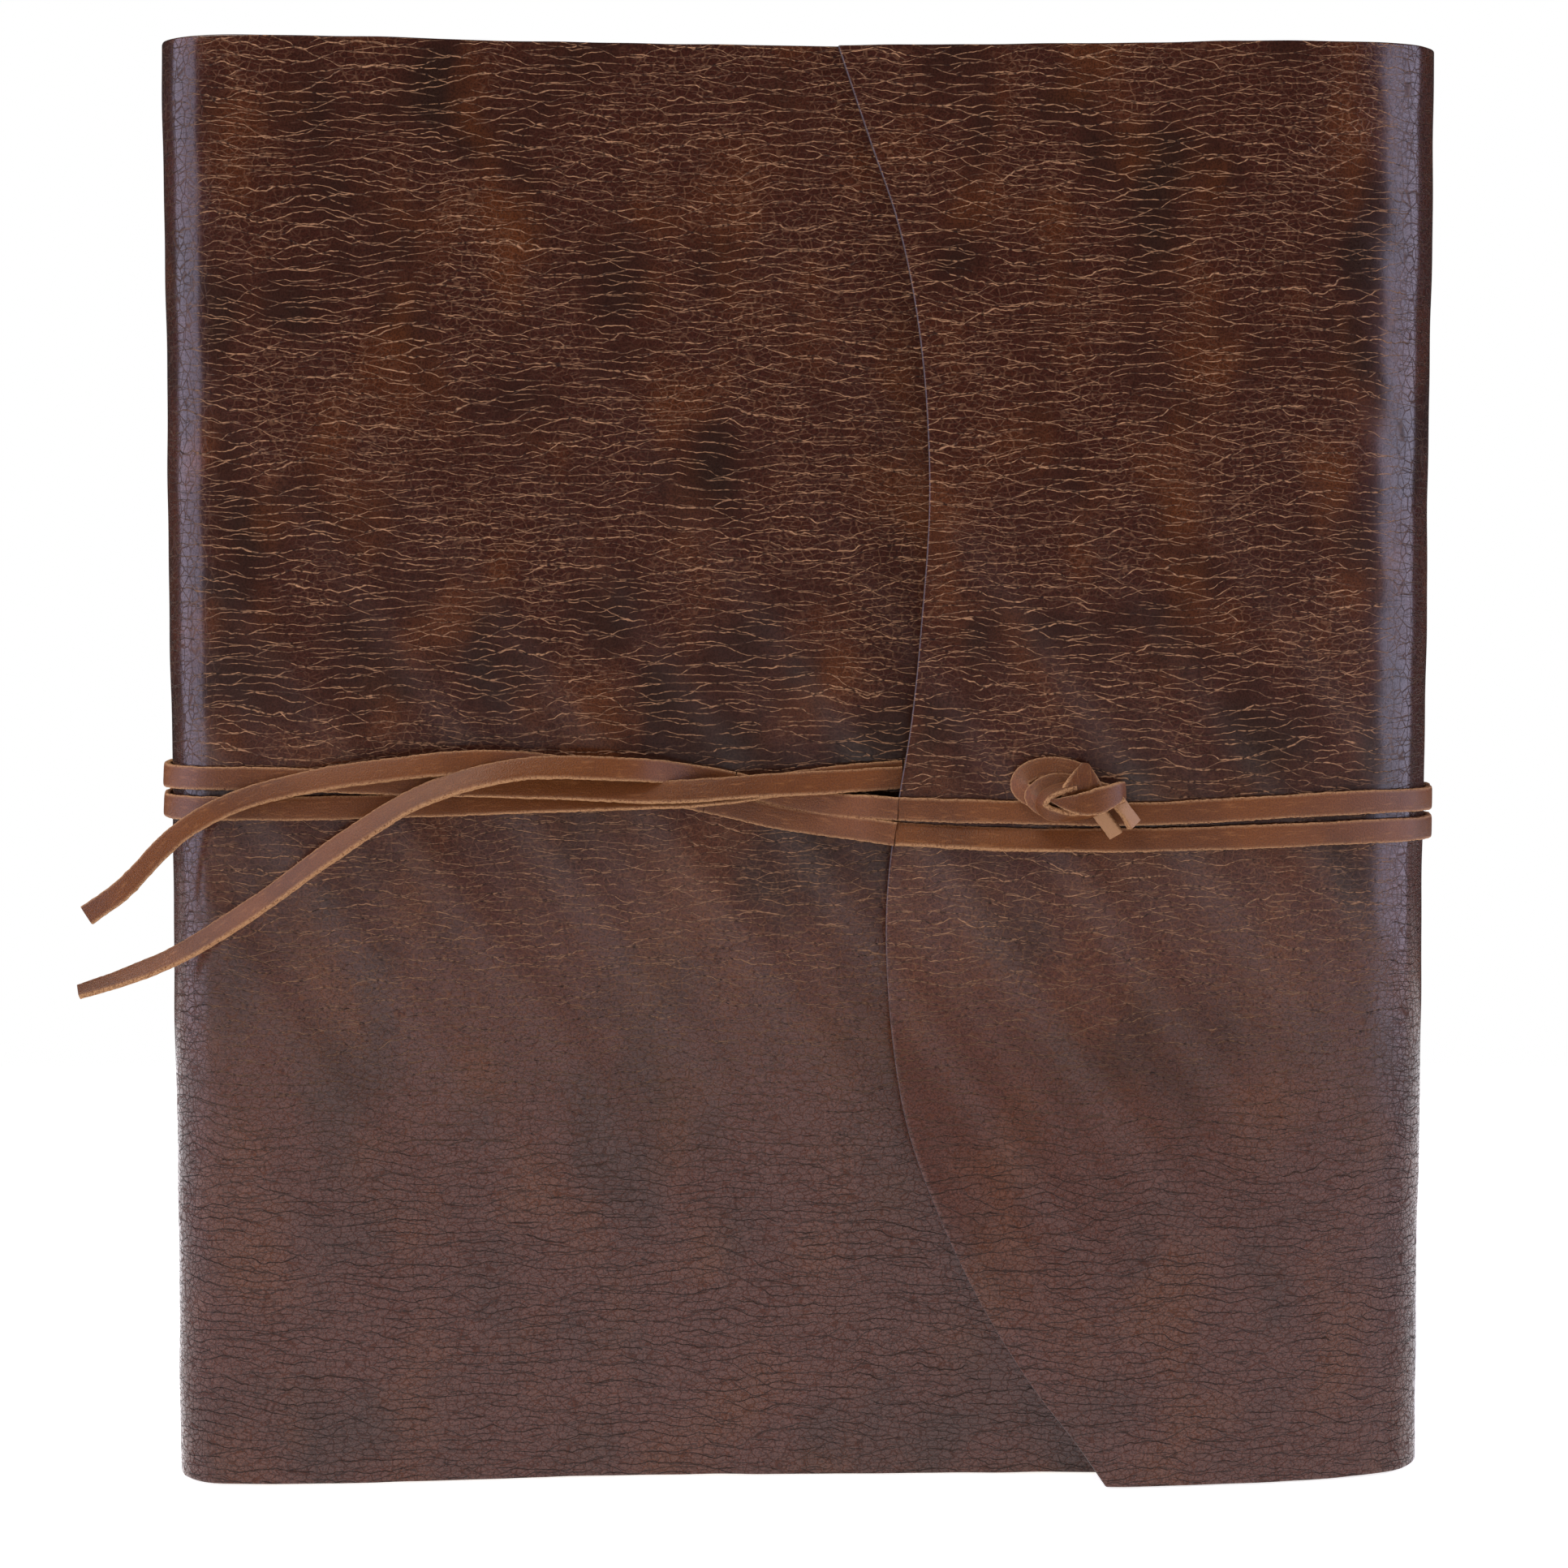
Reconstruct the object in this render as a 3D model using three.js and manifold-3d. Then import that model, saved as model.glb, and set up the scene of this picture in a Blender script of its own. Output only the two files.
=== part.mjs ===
// Leather wrap album, closed and standing on its lower edges.
// One sheet of leather runs from the front cover round the spine, along the back,
// round the fore edge and back over the front as a flap with an S-curved free edge.
// Two flat laces are knotted through a hole in the flap, circle the book once,
// tuck under themselves and hang free. The paper block inside is sewn on tapes.
// Millimetres; +X to the right, +Y to the back, +Z up.
import * as THREE from 'three';
import { mergeVertices } from 'three/addons/utils/BufferGeometryUtils.js';
import Module from 'manifold-3d';

const wasm = await Module();
wasm.setup();

// ---- driving dimensions ----
const HEIGHT = 340;
const LEATHER = 1.6;
const GAP = 0.3;
const ORIGIN_DEPTH = 23.44;

const LACE_WIDTH = 5.5;
const LACE_THICKNESS = 2;
const LACE_OFFSET = GAP + LACE_THICKNESS / 2;

const ENDPAPER = { outer: -1.9, inner: -2.7 };
const MULL = { outer: -3, inner: -3.6, bottom: 20, top: 320 };
const TAPE = { outer: -3.9, inner: -4.5, height: 16, levels: [60, 170, 280] };
const KETTLE = { outer: -3.9, inner: -4.6, height: 1.6, levels: [11, 329] };

const BLOCK = { offset: -4.9, bottom: 4, top: 336, foreEdgeX: 107, sections: 10 };

// Outer face of the leather in plan, as [x, depth behind the front-most plane],
// walked from the front cover's hidden free edge to the flap's free edge.
const FRONT = [[112, 10.4], [60, 10.2], [20, 9.6], [-25, 8.4], [-62, 6.2], [-90, 2.8], [-112, 0.7]];
const SPINE = [
  [-130, 0], [-141, 1.6], [-147.4, 7.5], [-150.2, 18], [-150.5, 27],
  [-150.2, 36], [-147.4, 46], [-141, 51.4],
];
const BACK = [[-130, 52.8], [-112, 53.1], [-40, 53.3], [50, 53.1]];
const FORE_EDGE = [
  [118, 50.8], [133, 47], [143.5, 40], [149.4, 32], [150.53, 26.5],
  [149.6, 20.5], [145, 13.2], [138.8, 9.3],
];
const FLAP = [[131, 6.4], [117, 3.6], [100, 2.5], [70, 2.3], [35, 3], [8, 3.6]];

const WRAP = [...FRONT, ...SPINE, ...BACK, ...FORE_EDGE, ...FLAP];
const AT = {
  frontEdge: 0,
  frontInner: FRONT.length - 1,
  spine: FRONT.length,
  back: FRONT.length + SPINE.length,
  backInner: FRONT.length + SPINE.length + 1,
  foreEdge: FRONT.length + SPINE.length + BACK.length,
  flap: FRONT.length + SPINE.length + BACK.length + FORE_EDGE.length,
  flapEdge: WRAP.length - 1,
};

// Free edge of the flap as [x, z], top to bottom.
const FLAP_EDGE = [
  [8.6, 340], [16, 318], [22.2, 300], [26.6, 280], [29.2, 258], [30, 232], [28.5, 208],
  [26, 182], [22, 157], [20.2, 137], [21, 114], [25, 87], [32.7, 65], [43, 43.5],
  [55, 24], [66, 9.5], [72.5, 0],
];
const HOLE = { x: [61.9, 67.6], z: [164.4, 171.6] };

// The knot is a flattened lump; the cut ends of both laces stand out of it.
const KNOT = { x: 62.6, depth: -4.6, z: 166.6, radiusX: 14, radiusDepth: 4.2, radiusZ: 8.2 };

const COLOURS = {
  leather: 0x4a2c22,
  lace: 0x6e452e,
  paper: 0xe9e0cc,
  endpaper: 0xd9cba8,
  cloth: 0xc9c2b0,
  tape: 0xd6cfbb,
  thread: 0xe6dfcc,
};

// ---- curves and solids ----
const wrapCurve = new THREE.CatmullRomCurve3(
  WRAP.map(([x, depth]) => new THREE.Vector3(x, depth, 0)), false, 'centripetal');

/** Point of the wrap at a station (a fractional index into WRAP), moved outwards by offset. */
function onWrap(station, offset, along = 0) {
  const t = station / (WRAP.length - 1);
  const point = wrapCurve.getPoint(t);
  const tangent = wrapCurve.getTangent(t);
  return new THREE.Vector2(
    point.x + tangent.x * along - tangent.y * offset,
    point.y + tangent.y * along + tangent.x * offset);
}

/** Evenly spaced stations between two given ones. */
function stations(from, to, perStation = 3) {
  const count = Math.round((to - from) * perStation);
  return Array.from({ length: count + 1 }, (_, i) => from + (to - from) * i / count);
}

/** Points along the wrap at one offset; the ends stand half a gap back from their stations. */
function wrapLine(from, to, offset, perStation, endGap = GAP / 2) {
  const list = stations(from, to, perStation);
  const last = list.length - 1;
  return list.map((s, i) => {
    const along = i === 0 ? endGap : i === last ? -endGap : 0;
    return onWrap(s, offset, along);
  });
}

/** Plan outline of a layer that follows the wrap between two stations. */
function layerShape(from, to, outer, inner, perStation) {
  const outside = wrapLine(from, to, outer, perStation);
  const inside = wrapLine(from, to, inner, perStation);
  return new THREE.Shape([...outside, ...inside.reverse()]);
}

function extrudeUp(shape, bottom, top) {
  const geometry = new THREE.ExtrudeGeometry(shape, { depth: top - bottom, bevelEnabled: false });
  return geometry.translate(0, 0, bottom);
}

/** Prism over an outline in the X-Z plane, from one depth to another. */
function extrudeBack(shape, front, back) {
  const geometry = new THREE.ExtrudeGeometry(shape, { depth: back - front, bevelEnabled: false });
  return geometry.rotateX(Math.PI / 2).translate(0, back, 0);
}

/** Flat strap swept along a path; its flat face looks away from the book. */
function strap(path, width = LACE_WIDTH, thickness = LACE_THICKNESS) {
  const positions = [];
  const last = path.length - 1;
  path.forEach((centre, i) => {
    const tangent = path[Math.min(i + 1, last)].clone().sub(path[Math.max(i - 1, 0)]).normalize();
    const face = new THREE.Vector3(-tangent.y, tangent.x, 0).normalize();
    const side = new THREE.Vector3().crossVectors(tangent, face);
    for (const [s, f] of [[1, 1], [-1, 1], [-1, -1], [1, -1]]) {
      const corner = centre.clone()
        .addScaledVector(side, s * width / 2)
        .addScaledVector(face, f * thickness / 2);
      positions.push(corner.x, corner.y, corner.z);
    }
  });
  const index = [0, 1, 2, 0, 2, 3];
  for (let ring = 0; ring < last; ring += 1) {
    for (let j = 0; j < 4; j += 1) {
      const a = ring * 4 + j;
      const b = ring * 4 + (j + 1) % 4;
      index.push(a, a + 4, b + 4, a, b + 4, b);
    }
  }
  const end = last * 4;
  index.push(end, end + 2, end + 1, end, end + 3, end + 2);
  const geometry = new THREE.BufferGeometry();
  geometry.setAttribute('position', new THREE.Float32BufferAttribute(positions, 3));
  geometry.setIndex(index);
  geometry.computeVertexNormals();
  return geometry;
}

/** Smooth path through [x, depth, z] points. */
function smoothPath(points, divisions) {
  const curve = new THREE.CatmullRomCurve3(
    points.map(([x, depth, z]) => new THREE.Vector3(x, depth, z)), false, 'centripetal');
  return curve.getPoints(divisions);
}

/** Path of a lace lying on the wrap between two stations, its height going from z0 to z1. */
function lacePath(from, to, z0, z1, perStation) {
  const line = wrapLine(from, to, LACE_OFFSET, perStation);
  return line.map((p, i) => new THREE.Vector3(p.x, p.y, z0 + (z1 - z0) * i / (line.length - 1)));
}

function toManifold(geometry) {
  const bare = geometry.clone();
  bare.deleteAttribute('normal');
  bare.deleteAttribute('uv');
  const merged = mergeVertices(bare, 1e-4);
  return new wasm.Manifold(new wasm.Mesh({
    numProp: 3,
    vertProperties: new Float32Array(merged.attributes.position.array),
    triVerts: new Uint32Array(merged.index.array),
  }));
}

function fromManifold(manifold) {
  const mesh = manifold.getMesh();
  const geometry = new THREE.BufferGeometry();
  geometry.setAttribute('position', new THREE.BufferAttribute(mesh.vertProperties, 3));
  geometry.setIndex(new THREE.BufferAttribute(mesh.triVerts, 1));
  const flat = geometry.toNonIndexed();
  flat.computeVertexNormals();
  return flat;
}

function knotSolid(clearance) {
  const ball = new THREE.SphereGeometry(1, 24, 14);
  ball.scale(KNOT.radiusX + clearance, KNOT.radiusDepth + clearance, KNOT.radiusZ + clearance);
  return toManifold(ball.translate(KNOT.x, KNOT.depth, KNOT.z));
}

// ---- assembly ----
const book = new THREE.Group();
book.name = 'leather_wrap_album';

function add(name, geometry, colour) {
  const material = new THREE.MeshStandardMaterial({ color: COLOURS[colour], roughness: 0.7 });
  material.name = colour;
  const mesh = new THREE.Mesh(geometry.translate(0, -ORIGIN_DEPTH, 0), material);
  mesh.name = name;
  book.add(mesh);
}

// Wrap leather: one sheet in use, parted at the folds it turns on.
function buildWrap() {
  const panels = [
    ['cover_front', AT.frontEdge, AT.spine],
    ['cover_spine', AT.spine, AT.back],
    ['cover_back', AT.back, AT.foreEdge],
    ['cover_fore_edge', AT.foreEdge, AT.flap],
  ];
  for (const [name, from, to] of panels) {
    add(name, extrudeUp(layerShape(from, to, 0, -LEATHER, 3), 0, HEIGHT), 'leather');
  }
  const sheet = toManifold(extrudeUp(layerShape(AT.flap, AT.flapEdge, 0, -LEATHER, 3), 0, HEIGHT));
  const freeEdge = smoothPath(FLAP_EDGE.map(([x, z]) => [x, z, 0]), 40)
    .map((p) => new THREE.Vector2(p.x, p.y));
  const kept = new THREE.Shape([
    ...freeEdge, new THREE.Vector2(150, -1), new THREE.Vector2(150, HEIGHT + 1),
  ]);
  const hole = new THREE.Shape([
    new THREE.Vector2(HOLE.x[0], HOLE.z[0]), new THREE.Vector2(HOLE.x[1], HOLE.z[0]),
    new THREE.Vector2(HOLE.x[1], HOLE.z[1]), new THREE.Vector2(HOLE.x[0], HOLE.z[1]),
  ]);
  const flap = sheet
    .intersect(toManifold(extrudeBack(kept, -5, 15)))
    .subtract(toManifold(extrudeBack(hole, -5, 15)));
  add('cover_flap', fromManifold(flap), 'leather');
}

/** Value of one coordinate of a polyline where its other coordinate has the given value. */
function lookUp(line, key, value, want) {
  for (let i = 1; i < line.length; i += 1) {
    const a = line[i - 1];
    const b = line[i];
    if ((a[key] - value) * (b[key] - value) <= 0 && a[key] !== b[key]) {
      return a[want] + (b[want] - a[want]) * (value - a[key]) / (b[key] - a[key]);
    }
  }
  throw new Error(`no crossing at ${key} = ${value}`);
}

// Paper block: folded sections, thicker at the fold, under the dished front cover.
function buildBlock() {
  const front = wrapLine(AT.frontEdge, AT.spine + 4, BLOCK.offset, 6);
  const spine = wrapLine(AT.spine, AT.back, BLOCK.offset, 6);
  const back = wrapLine(AT.back - 4, AT.foreEdge, BLOCK.offset, 6);
  const depthAt = (x, share) => {
    const first = lookUp(front, 'x', x, 'y');
    const lastOne = lookUp(back, 'x', x, 'y');
    return first + (lastOne - first) * share;
  };
  const foldRoom = 2.2;
  const steps = 8;
  const foldDepths = [lookUp(front, 'x', -132, 'y'), lookUp(back, 'x', -132, 'y')];
  for (let k = 0; k < BLOCK.sections; k += 1) {
    const middle = (k + 0.5) / BLOCK.sections;
    const tipDepth = foldDepths[0] + (foldDepths[1] - foldDepths[0]) * middle;
    const tipX = lookUp(spine, 'y', tipDepth, 'x') + GAP;
    const startX = tipX + foldRoom;
    const side = (share, inset) => Array.from({ length: steps + 1 }, (_, i) => {
      const x = startX + (BLOCK.foreEdgeX - startX) * i / steps;
      return new THREE.Vector2(x, depthAt(x, share) + inset);
    });
    const near = side(k / BLOCK.sections, GAP / 2);
    const far = side((k + 1) / BLOCK.sections, -GAP / 2);
    const fold = new THREE.Vector2(tipX, (near[0].y + far[0].y) / 2);
    const shape = new THREE.Shape([fold, ...near, ...far.reverse()]);
    const number = String(k + 1).padStart(2, '0');
    add(`section_${number}`, extrudeUp(shape, BLOCK.bottom, BLOCK.top), 'paper');
  }
}

// Everything that holds the block together and in the cover.
function buildBinding() {
  const { outer, inner } = ENDPAPER;
  add('endpaper_front',
    extrudeUp(layerShape(AT.frontEdge + 0.08, AT.spine, outer, inner, 3), BLOCK.bottom, BLOCK.top),
    'endpaper');
  add('endpaper_back',
    extrudeUp(layerShape(AT.back, AT.foreEdge - 0.16, outer, inner, 3), BLOCK.bottom, BLOCK.top),
    'endpaper');
  add('spine_mull',
    extrudeUp(layerShape(AT.frontInner, AT.backInner, MULL.outer, MULL.inner, 3), MULL.bottom, MULL.top),
    'cloth');
  TAPE.levels.forEach((level, i) => {
    const shape = layerShape(AT.frontInner, AT.backInner, TAPE.outer, TAPE.inner, 3);
    add(`sewing_tape_${i + 1}`,
      extrudeUp(shape, level - TAPE.height / 2, level + TAPE.height / 2), 'tape');
  });
  KETTLE.levels.forEach((level, i) => {
    const shape = layerShape(AT.spine, AT.back, KETTLE.outer, KETTLE.inner, 3);
    add(`kettle_stitch_${i + 1}`,
      extrudeUp(shape, level - KETTLE.height / 2, level + KETTLE.height / 2), 'thread');
  });
}

// One lace: hole, under the flap, over the front cover, round the book, over the flap,
// under its own first turn, and out as a free tail.
function buildLace(name, lace) {
  add(`${name}_under_flap`, strap(smoothPath(lace.underFlap, 14)), 'lace');
  const front = smoothPath(lace.front, 18);
  const shoulder = onWrap(AT.spine, LACE_OFFSET, -GAP / 2);
  front.push(new THREE.Vector3(shoulder.x, shoulder.y, lace.zSpine));
  add(`${name}_front`, strap(front), 'lace');
  add(`${name}_spine`, strap(lacePath(AT.spine, AT.back, lace.zSpine, lace.zSpine, 3)), 'lace');
  add(`${name}_back`, strap(lacePath(AT.back, AT.foreEdge, lace.zSpine, lace.zForeEdge, 3)), 'lace');
  add(`${name}_fore_edge`,
    strap(lacePath(AT.foreEdge, AT.flap, lace.zForeEdge, lace.zForeEdge, 3)), 'lace');
  add(`${name}_over_flap`,
    strap(lacePath(AT.flap, lace.flapStop, lace.zForeEdge, lace.zFlapEdge, 3)), 'lace');
  add(`${name}_tuck`, strap(smoothPath(lace.tuck, 16)), 'lace');
  add(`${name}_tail`, strap(smoothPath(lace.tail, 26)), 'lace');
  const end = toManifold(strap(smoothPath(lace.end, 3))).subtract(knotSolid(GAP));
  add(`${name}_end`, fromManifold(end), 'lace');
}

const UPPER_LACE = {
  zSpine: 167.7,
  zForeEdge: 162.6,
  zFlapEdge: 160.9,
  flapStop: AT.flapEdge - 0.565,
  underFlap: [
    [63.5, -0.05, 168], [63.4, 2.4, 168], [62.6, 4.8, 168], [59.4, 5.7, 168], [40, 6, 168.3],
    [23.7, 6.1, 168.6],
  ],
  front: [
    [23.2, 6.1, 168.6], [2, 3.9, 167.6], [-10, 2.4, 166.4], [-20, 1.7, 165.6], [-42, 0.6, 165.4],
    [-62, -0.2, 166.4], [-95, -0.9, 167.5], [-116, -1.1, 167.7],
  ],
  tuck: [
    [22.2, 1.9, 161.2], [18, 3.7, 160.6], [11, 6.3, 159.8], [2, 7.3, 159.2], [-7, 7.4, 160.6],
    [-12, 7.4, 165], [-14, 7.2, 171],
  ],
  tail: [
    [-13.4, 7.6, 174.6], [-13.6, 2.5, 174.6], [-15.6, -1.8, 173.8], [-22, -3.2, 171.6],
    [-40, -3.9, 171.4], [-60, -4.7, 171.4], [-74, -5.5, 169.8], [-91.5, -5.4, 163.1],
    [-110.7, -5, 150.8], [-124.9, -5, 140.3], [-144.9, -5.5, 127.8], [-158.3, -6, 122.2],
    [-168.3, -6.2, 119],
  ],
  end: [[64.5, -3.2, 157.8], [69, -2.8, 156.2], [74.4, -2.4, 154.4]],
};

const LOWER_LACE = {
  zSpine: 161.2,
  zForeEdge: 156.2,
  zFlapEdge: 154.6,
  flapStop: AT.flapEdge - 0.53,
  underFlap: [
    [66.1, -0.05, 168], [66.1, 4.6, 168], [65, 7, 168], [61.5, 8, 168], [40, 8.2, 168],
    [23.7, 8.4, 168.2],
  ],
  front: [
    [23.2, 8.4, 168.2], [2, 6.2, 167], [-10, 4.7, 165.8], [-20, 4.1, 165], [-42, 3, 162.2],
    [-62, 2.1, 161.2], [-95, 0, 161.2], [-116, -1, 161.2],
  ],
  tuck: [
    [21.2, 1.9, 154.6], [17, 3.7, 154.1], [10, 6.2, 153.5], [0, 7.2, 152.9], [-12, 7.3, 154],
    [-19, 7.2, 159.4], [-21.6, 7.1, 165], [-22.6, 7.1, 171],
  ],
  tail: [
    [-22.6, 7.6, 174.6], [-23, 2.5, 174.6], [-25, -0.5, 174.2], [-32, -1.2, 173.4],
    [-54, -1.9, 172.8], [-81.8, -3.1, 172.4], [-111.5, -4.6, 168.4], [-131.6, -6.2, 163.3],
    [-144.9, -7.2, 155.9], [-158.4, -7, 142.6], [-166.4, -6.6, 136.7],
  ],
  end: [[70.8, -5.4, 158.6], [74.6, -5, 157.2], [79, -4.6, 156]],
};

buildWrap();
buildBlock();
buildBinding();
buildLace('lace_upper', UPPER_LACE);
buildLace('lace_lower', LOWER_LACE);
add('lace_knot', fromManifold(knotSolid(0)), 'lace');

export default book;
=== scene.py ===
"""Leather wrap album, closed with two flat laces: the visual model on its CAD frame.

Lengths are millimetres in the classes below and metres in the meshes. Plan positions are
written as (x, depth), with depth measured backwards from the front-most leather.
"""
import logging
import math
from dataclasses import dataclass, field
from enum import Enum
from typing import ClassVar, Dict, Optional, Sequence, Tuple, Union

import bpy
import numpy as np
from mathutils import Matrix


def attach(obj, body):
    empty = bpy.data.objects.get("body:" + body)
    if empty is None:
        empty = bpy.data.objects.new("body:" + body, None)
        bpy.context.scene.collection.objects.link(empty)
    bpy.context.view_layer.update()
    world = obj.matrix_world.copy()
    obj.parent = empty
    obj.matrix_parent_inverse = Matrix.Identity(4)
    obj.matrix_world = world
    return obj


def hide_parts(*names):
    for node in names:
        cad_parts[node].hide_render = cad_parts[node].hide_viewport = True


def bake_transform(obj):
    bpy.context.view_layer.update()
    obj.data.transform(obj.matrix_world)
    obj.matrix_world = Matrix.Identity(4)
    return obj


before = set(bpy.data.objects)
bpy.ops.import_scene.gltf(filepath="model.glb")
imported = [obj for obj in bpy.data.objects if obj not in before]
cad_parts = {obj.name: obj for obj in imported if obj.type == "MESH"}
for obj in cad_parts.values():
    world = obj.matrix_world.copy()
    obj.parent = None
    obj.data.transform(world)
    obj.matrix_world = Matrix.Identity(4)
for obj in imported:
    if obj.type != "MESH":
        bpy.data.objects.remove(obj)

LOG = logging.getLogger("album")
MM = 0.001
ORIGIN_DEPTH = 23.44   # depth of the frame's origin behind the front-most leather
HEIGHT = 340.0
LEATHER = 1.6
SHARP_ANGLE = 38.0     # degrees; a steeper fold in a mesh is shaded as an edge
FINE = 1e-6

Array = np.ndarray
Colour = Tuple[float, float, float]
Point = Tuple[float, float, float]
PlanPoint = Tuple[float, float]


class Body(str, Enum):
    """Rigid bodies of the assembly, as the joints know them."""

    BASE = "base"
    FRONT = "front_cover"
    FORE = "fore_edge"
    FLAP = "flap"


class Slot(str, Enum):
    """Material slots of the record."""

    COVER = "cover_leather"
    LACE = "lace_leather"
    PAPER = "paper"
    ENDPAPER = "endpaper"
    MULL = "mull"
    TAPE = "tape"
    THREAD = "thread"


# ---------------------------------------------------------------- numbers and curves


def smooth(value: Array, low: float, high: float) -> Array:
    """Return 0 below low, 1 above high and 3t^2 - 2t^3 between them."""
    t = np.clip((np.asarray(value, float) - low) / (high - low), 0.0, 1.0)
    return t * t * (3.0 - 2.0 * t)


def wander(s: Array, seed: float, wave: float) -> Array:
    """Return a smooth wandering value near -1 to 1: a sum of three sines of unlike lengths.

    Args:
        s: Where along the piece, in mm.
        seed: Phase of the sines.
        wave: Longest wavelength, in mm.

    Returns:
        One value for each entry of s.
    """
    k = 2.0 * math.pi / wave
    return (0.55 * np.sin(k * s + seed) + 0.3 * np.sin(2.31 * k * s + 2.3 * seed + 1.0)
            + 0.15 * np.sin(4.7 * k * s + 5.1 * seed))


def spline(points: Sequence[Sequence[float]], stations: Array) -> Tuple[Array, Array]:
    """Evaluate a centripetal Catmull-Rom curve through points.

    Each span is the cubic that passes through its two ends, with end slopes from the
    neighbours weighted by the square root of the chord lengths.

    Args:
        points: Control points, n by k.
        stations: Fractional indices into points.

    Returns:
        Positions and unit tangents, one row for each station.
    """
    p = np.asarray(points, float)
    p = np.vstack([2 * p[0] - p[1], p, 2 * p[-1] - p[-2]])
    i = np.clip(np.floor(stations).astype(int), 0, len(p) - 4)
    t = (np.asarray(stations, float) - i)[:, None]
    a, b, c, d = p[i], p[i + 1], p[i + 2], p[i + 3]

    def chord(u: Array, v: Array) -> Array:
        """Square root of the distance between rows."""
        return np.maximum(np.sqrt(np.linalg.norm(v - u, axis=1)), FINE)[:, None]

    d0, d1, d2 = chord(a, b), chord(b, c), chord(c, d)
    m1 = ((b - a) / d0 - (c - a) / (d0 + d1) + (c - b) / d1) * d1
    m2 = ((c - b) / d1 - (d - b) / (d1 + d2) + (d - c) / d2) * d1
    k2 = -3 * b + 3 * c - 2 * m1 - m2
    k3 = 2 * b - 2 * c + m1 + m2
    place = b + m1 * t + k2 * t ** 2 + k3 * t ** 3
    slope = m1 + 2 * k2 * t + 3 * k3 * t ** 2
    return place, slope / np.maximum(np.linalg.norm(slope, axis=1, keepdims=True), 1e-9)


def run_length(path: Array) -> Array:
    """Length already run at each point of a path, from 0: the sum of the steps before it."""
    return np.concatenate([[0.0], np.cumsum(np.linalg.norm(np.diff(path, axis=0), axis=1))])


def even_path(points: Sequence[Sequence[float]], step: float) -> Array:
    """Space points evenly along the spline through the given ones.

    Args:
        points: Control points, n by k.
        step: Distance wanted between neighbours, in mm.

    Returns:
        The new points, with both ends kept.
    """
    fine = np.linspace(0, len(points) - 1, 60 * (len(points) - 1) + 1)
    place, _ = spline(points, fine)
    run = run_length(place)
    count = max(2, int(round(run[-1] / step)) + 1)
    want = np.linspace(0, run[-1], count)
    return np.stack([np.interp(want, run, place[:, k]) for k in range(place.shape[1])], axis=1)


@dataclass(frozen=True)
class WrapPlan:
    """Plan of the leather wrap: its outer face from the front cover's hidden edge to the flap's.

    The lists hold (x, depth) and share their meaning with the CAD outline.
    """

    front: Tuple[PlanPoint, ...] = (
        (112, 10.4), (60, 10.2), (20, 9.6), (-25, 8.4), (-62, 6.2), (-90, 2.8), (-112, 0.7))
    spine: Tuple[PlanPoint, ...] = (
        (-130, 0), (-141, 1.6), (-147.4, 7.5), (-150.2, 18), (-150.5, 27),
        (-150.2, 36), (-147.4, 46), (-141, 51.4))
    back: Tuple[PlanPoint, ...] = ((-130, 52.8), (-112, 53.1), (-40, 53.3), (50, 53.1))
    fore_edge: Tuple[PlanPoint, ...] = (
        (118, 50.8), (133, 47), (143.5, 40), (149.4, 32), (150.53, 26.5),
        (149.6, 20.5), (145, 13.2), (138.8, 9.3))
    flap: Tuple[PlanPoint, ...] = (
        (131, 6.4), (117, 3.6), (100, 2.5), (70, 2.3), (35, 3), (8, 3.6))

    @property
    def points(self) -> Array:
        """All control points in order."""
        return np.array(self.front + self.spine + self.back + self.fore_edge + self.flap, float)

    @property
    def at_spine(self) -> int:
        """Station of the hinge between front cover and spine."""
        return len(self.front)

    @property
    def at_left(self) -> int:
        """Station of the spine's outermost point."""
        return len(self.front) + 4

    @property
    def at_back(self) -> int:
        """Station where the spine meets the back cover."""
        return len(self.front) + len(self.spine)

    @property
    def at_fore(self) -> int:
        """Station of the hinge between back cover and fore edge."""
        return self.at_back + len(self.back)

    @property
    def at_right(self) -> int:
        """Station of the fore edge's outermost point."""
        return self.at_fore + 4

    @property
    def at_flap(self) -> int:
        """Station of the hinge between fore edge and flap."""
        return self.at_fore + len(self.fore_edge)

    @property
    def at_end(self) -> int:
        """Station of the last control point, at the flap's farthest reach."""
        return self.at_flap + len(self.flap) - 1

    def line(self, stations: Array, offset: Union[float, Array] = 0.0) -> Tuple[Array, Array]:
        """Walk the outline: plan points moved outwards by offset.

        The outward normal is the tangent turned by a quarter, (-ty, tx).

        Args:
            stations: Fractional indices into the control points.
            offset: Distance outwards from the leather's outer face, in mm.

        Returns:
            Points (x, depth) and outward normals, one row for each station.
        """
        place, tangent = spline(self.points, np.asarray(stations, float))
        normal = np.stack([-tangent[:, 1], tangent[:, 0]], axis=1)
        return place + normal * np.asarray(offset, float).reshape(-1, 1), normal

    def even_stations(self, start: float, stop: float, count: int) -> Array:
        """Share a stretch of the outline out at equal arc lengths.

        Args:
            start: First station.
            stop: Last station.
            count: Number of stations wanted.

        Returns:
            The stations, with both ends kept.
        """
        fine = np.linspace(start, stop, 800)
        place, _ = spline(self.points, fine)
        run = run_length(place)
        return np.interp(np.linspace(0, run[-1], count), run, fine)


PLAN = WrapPlan()


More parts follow.
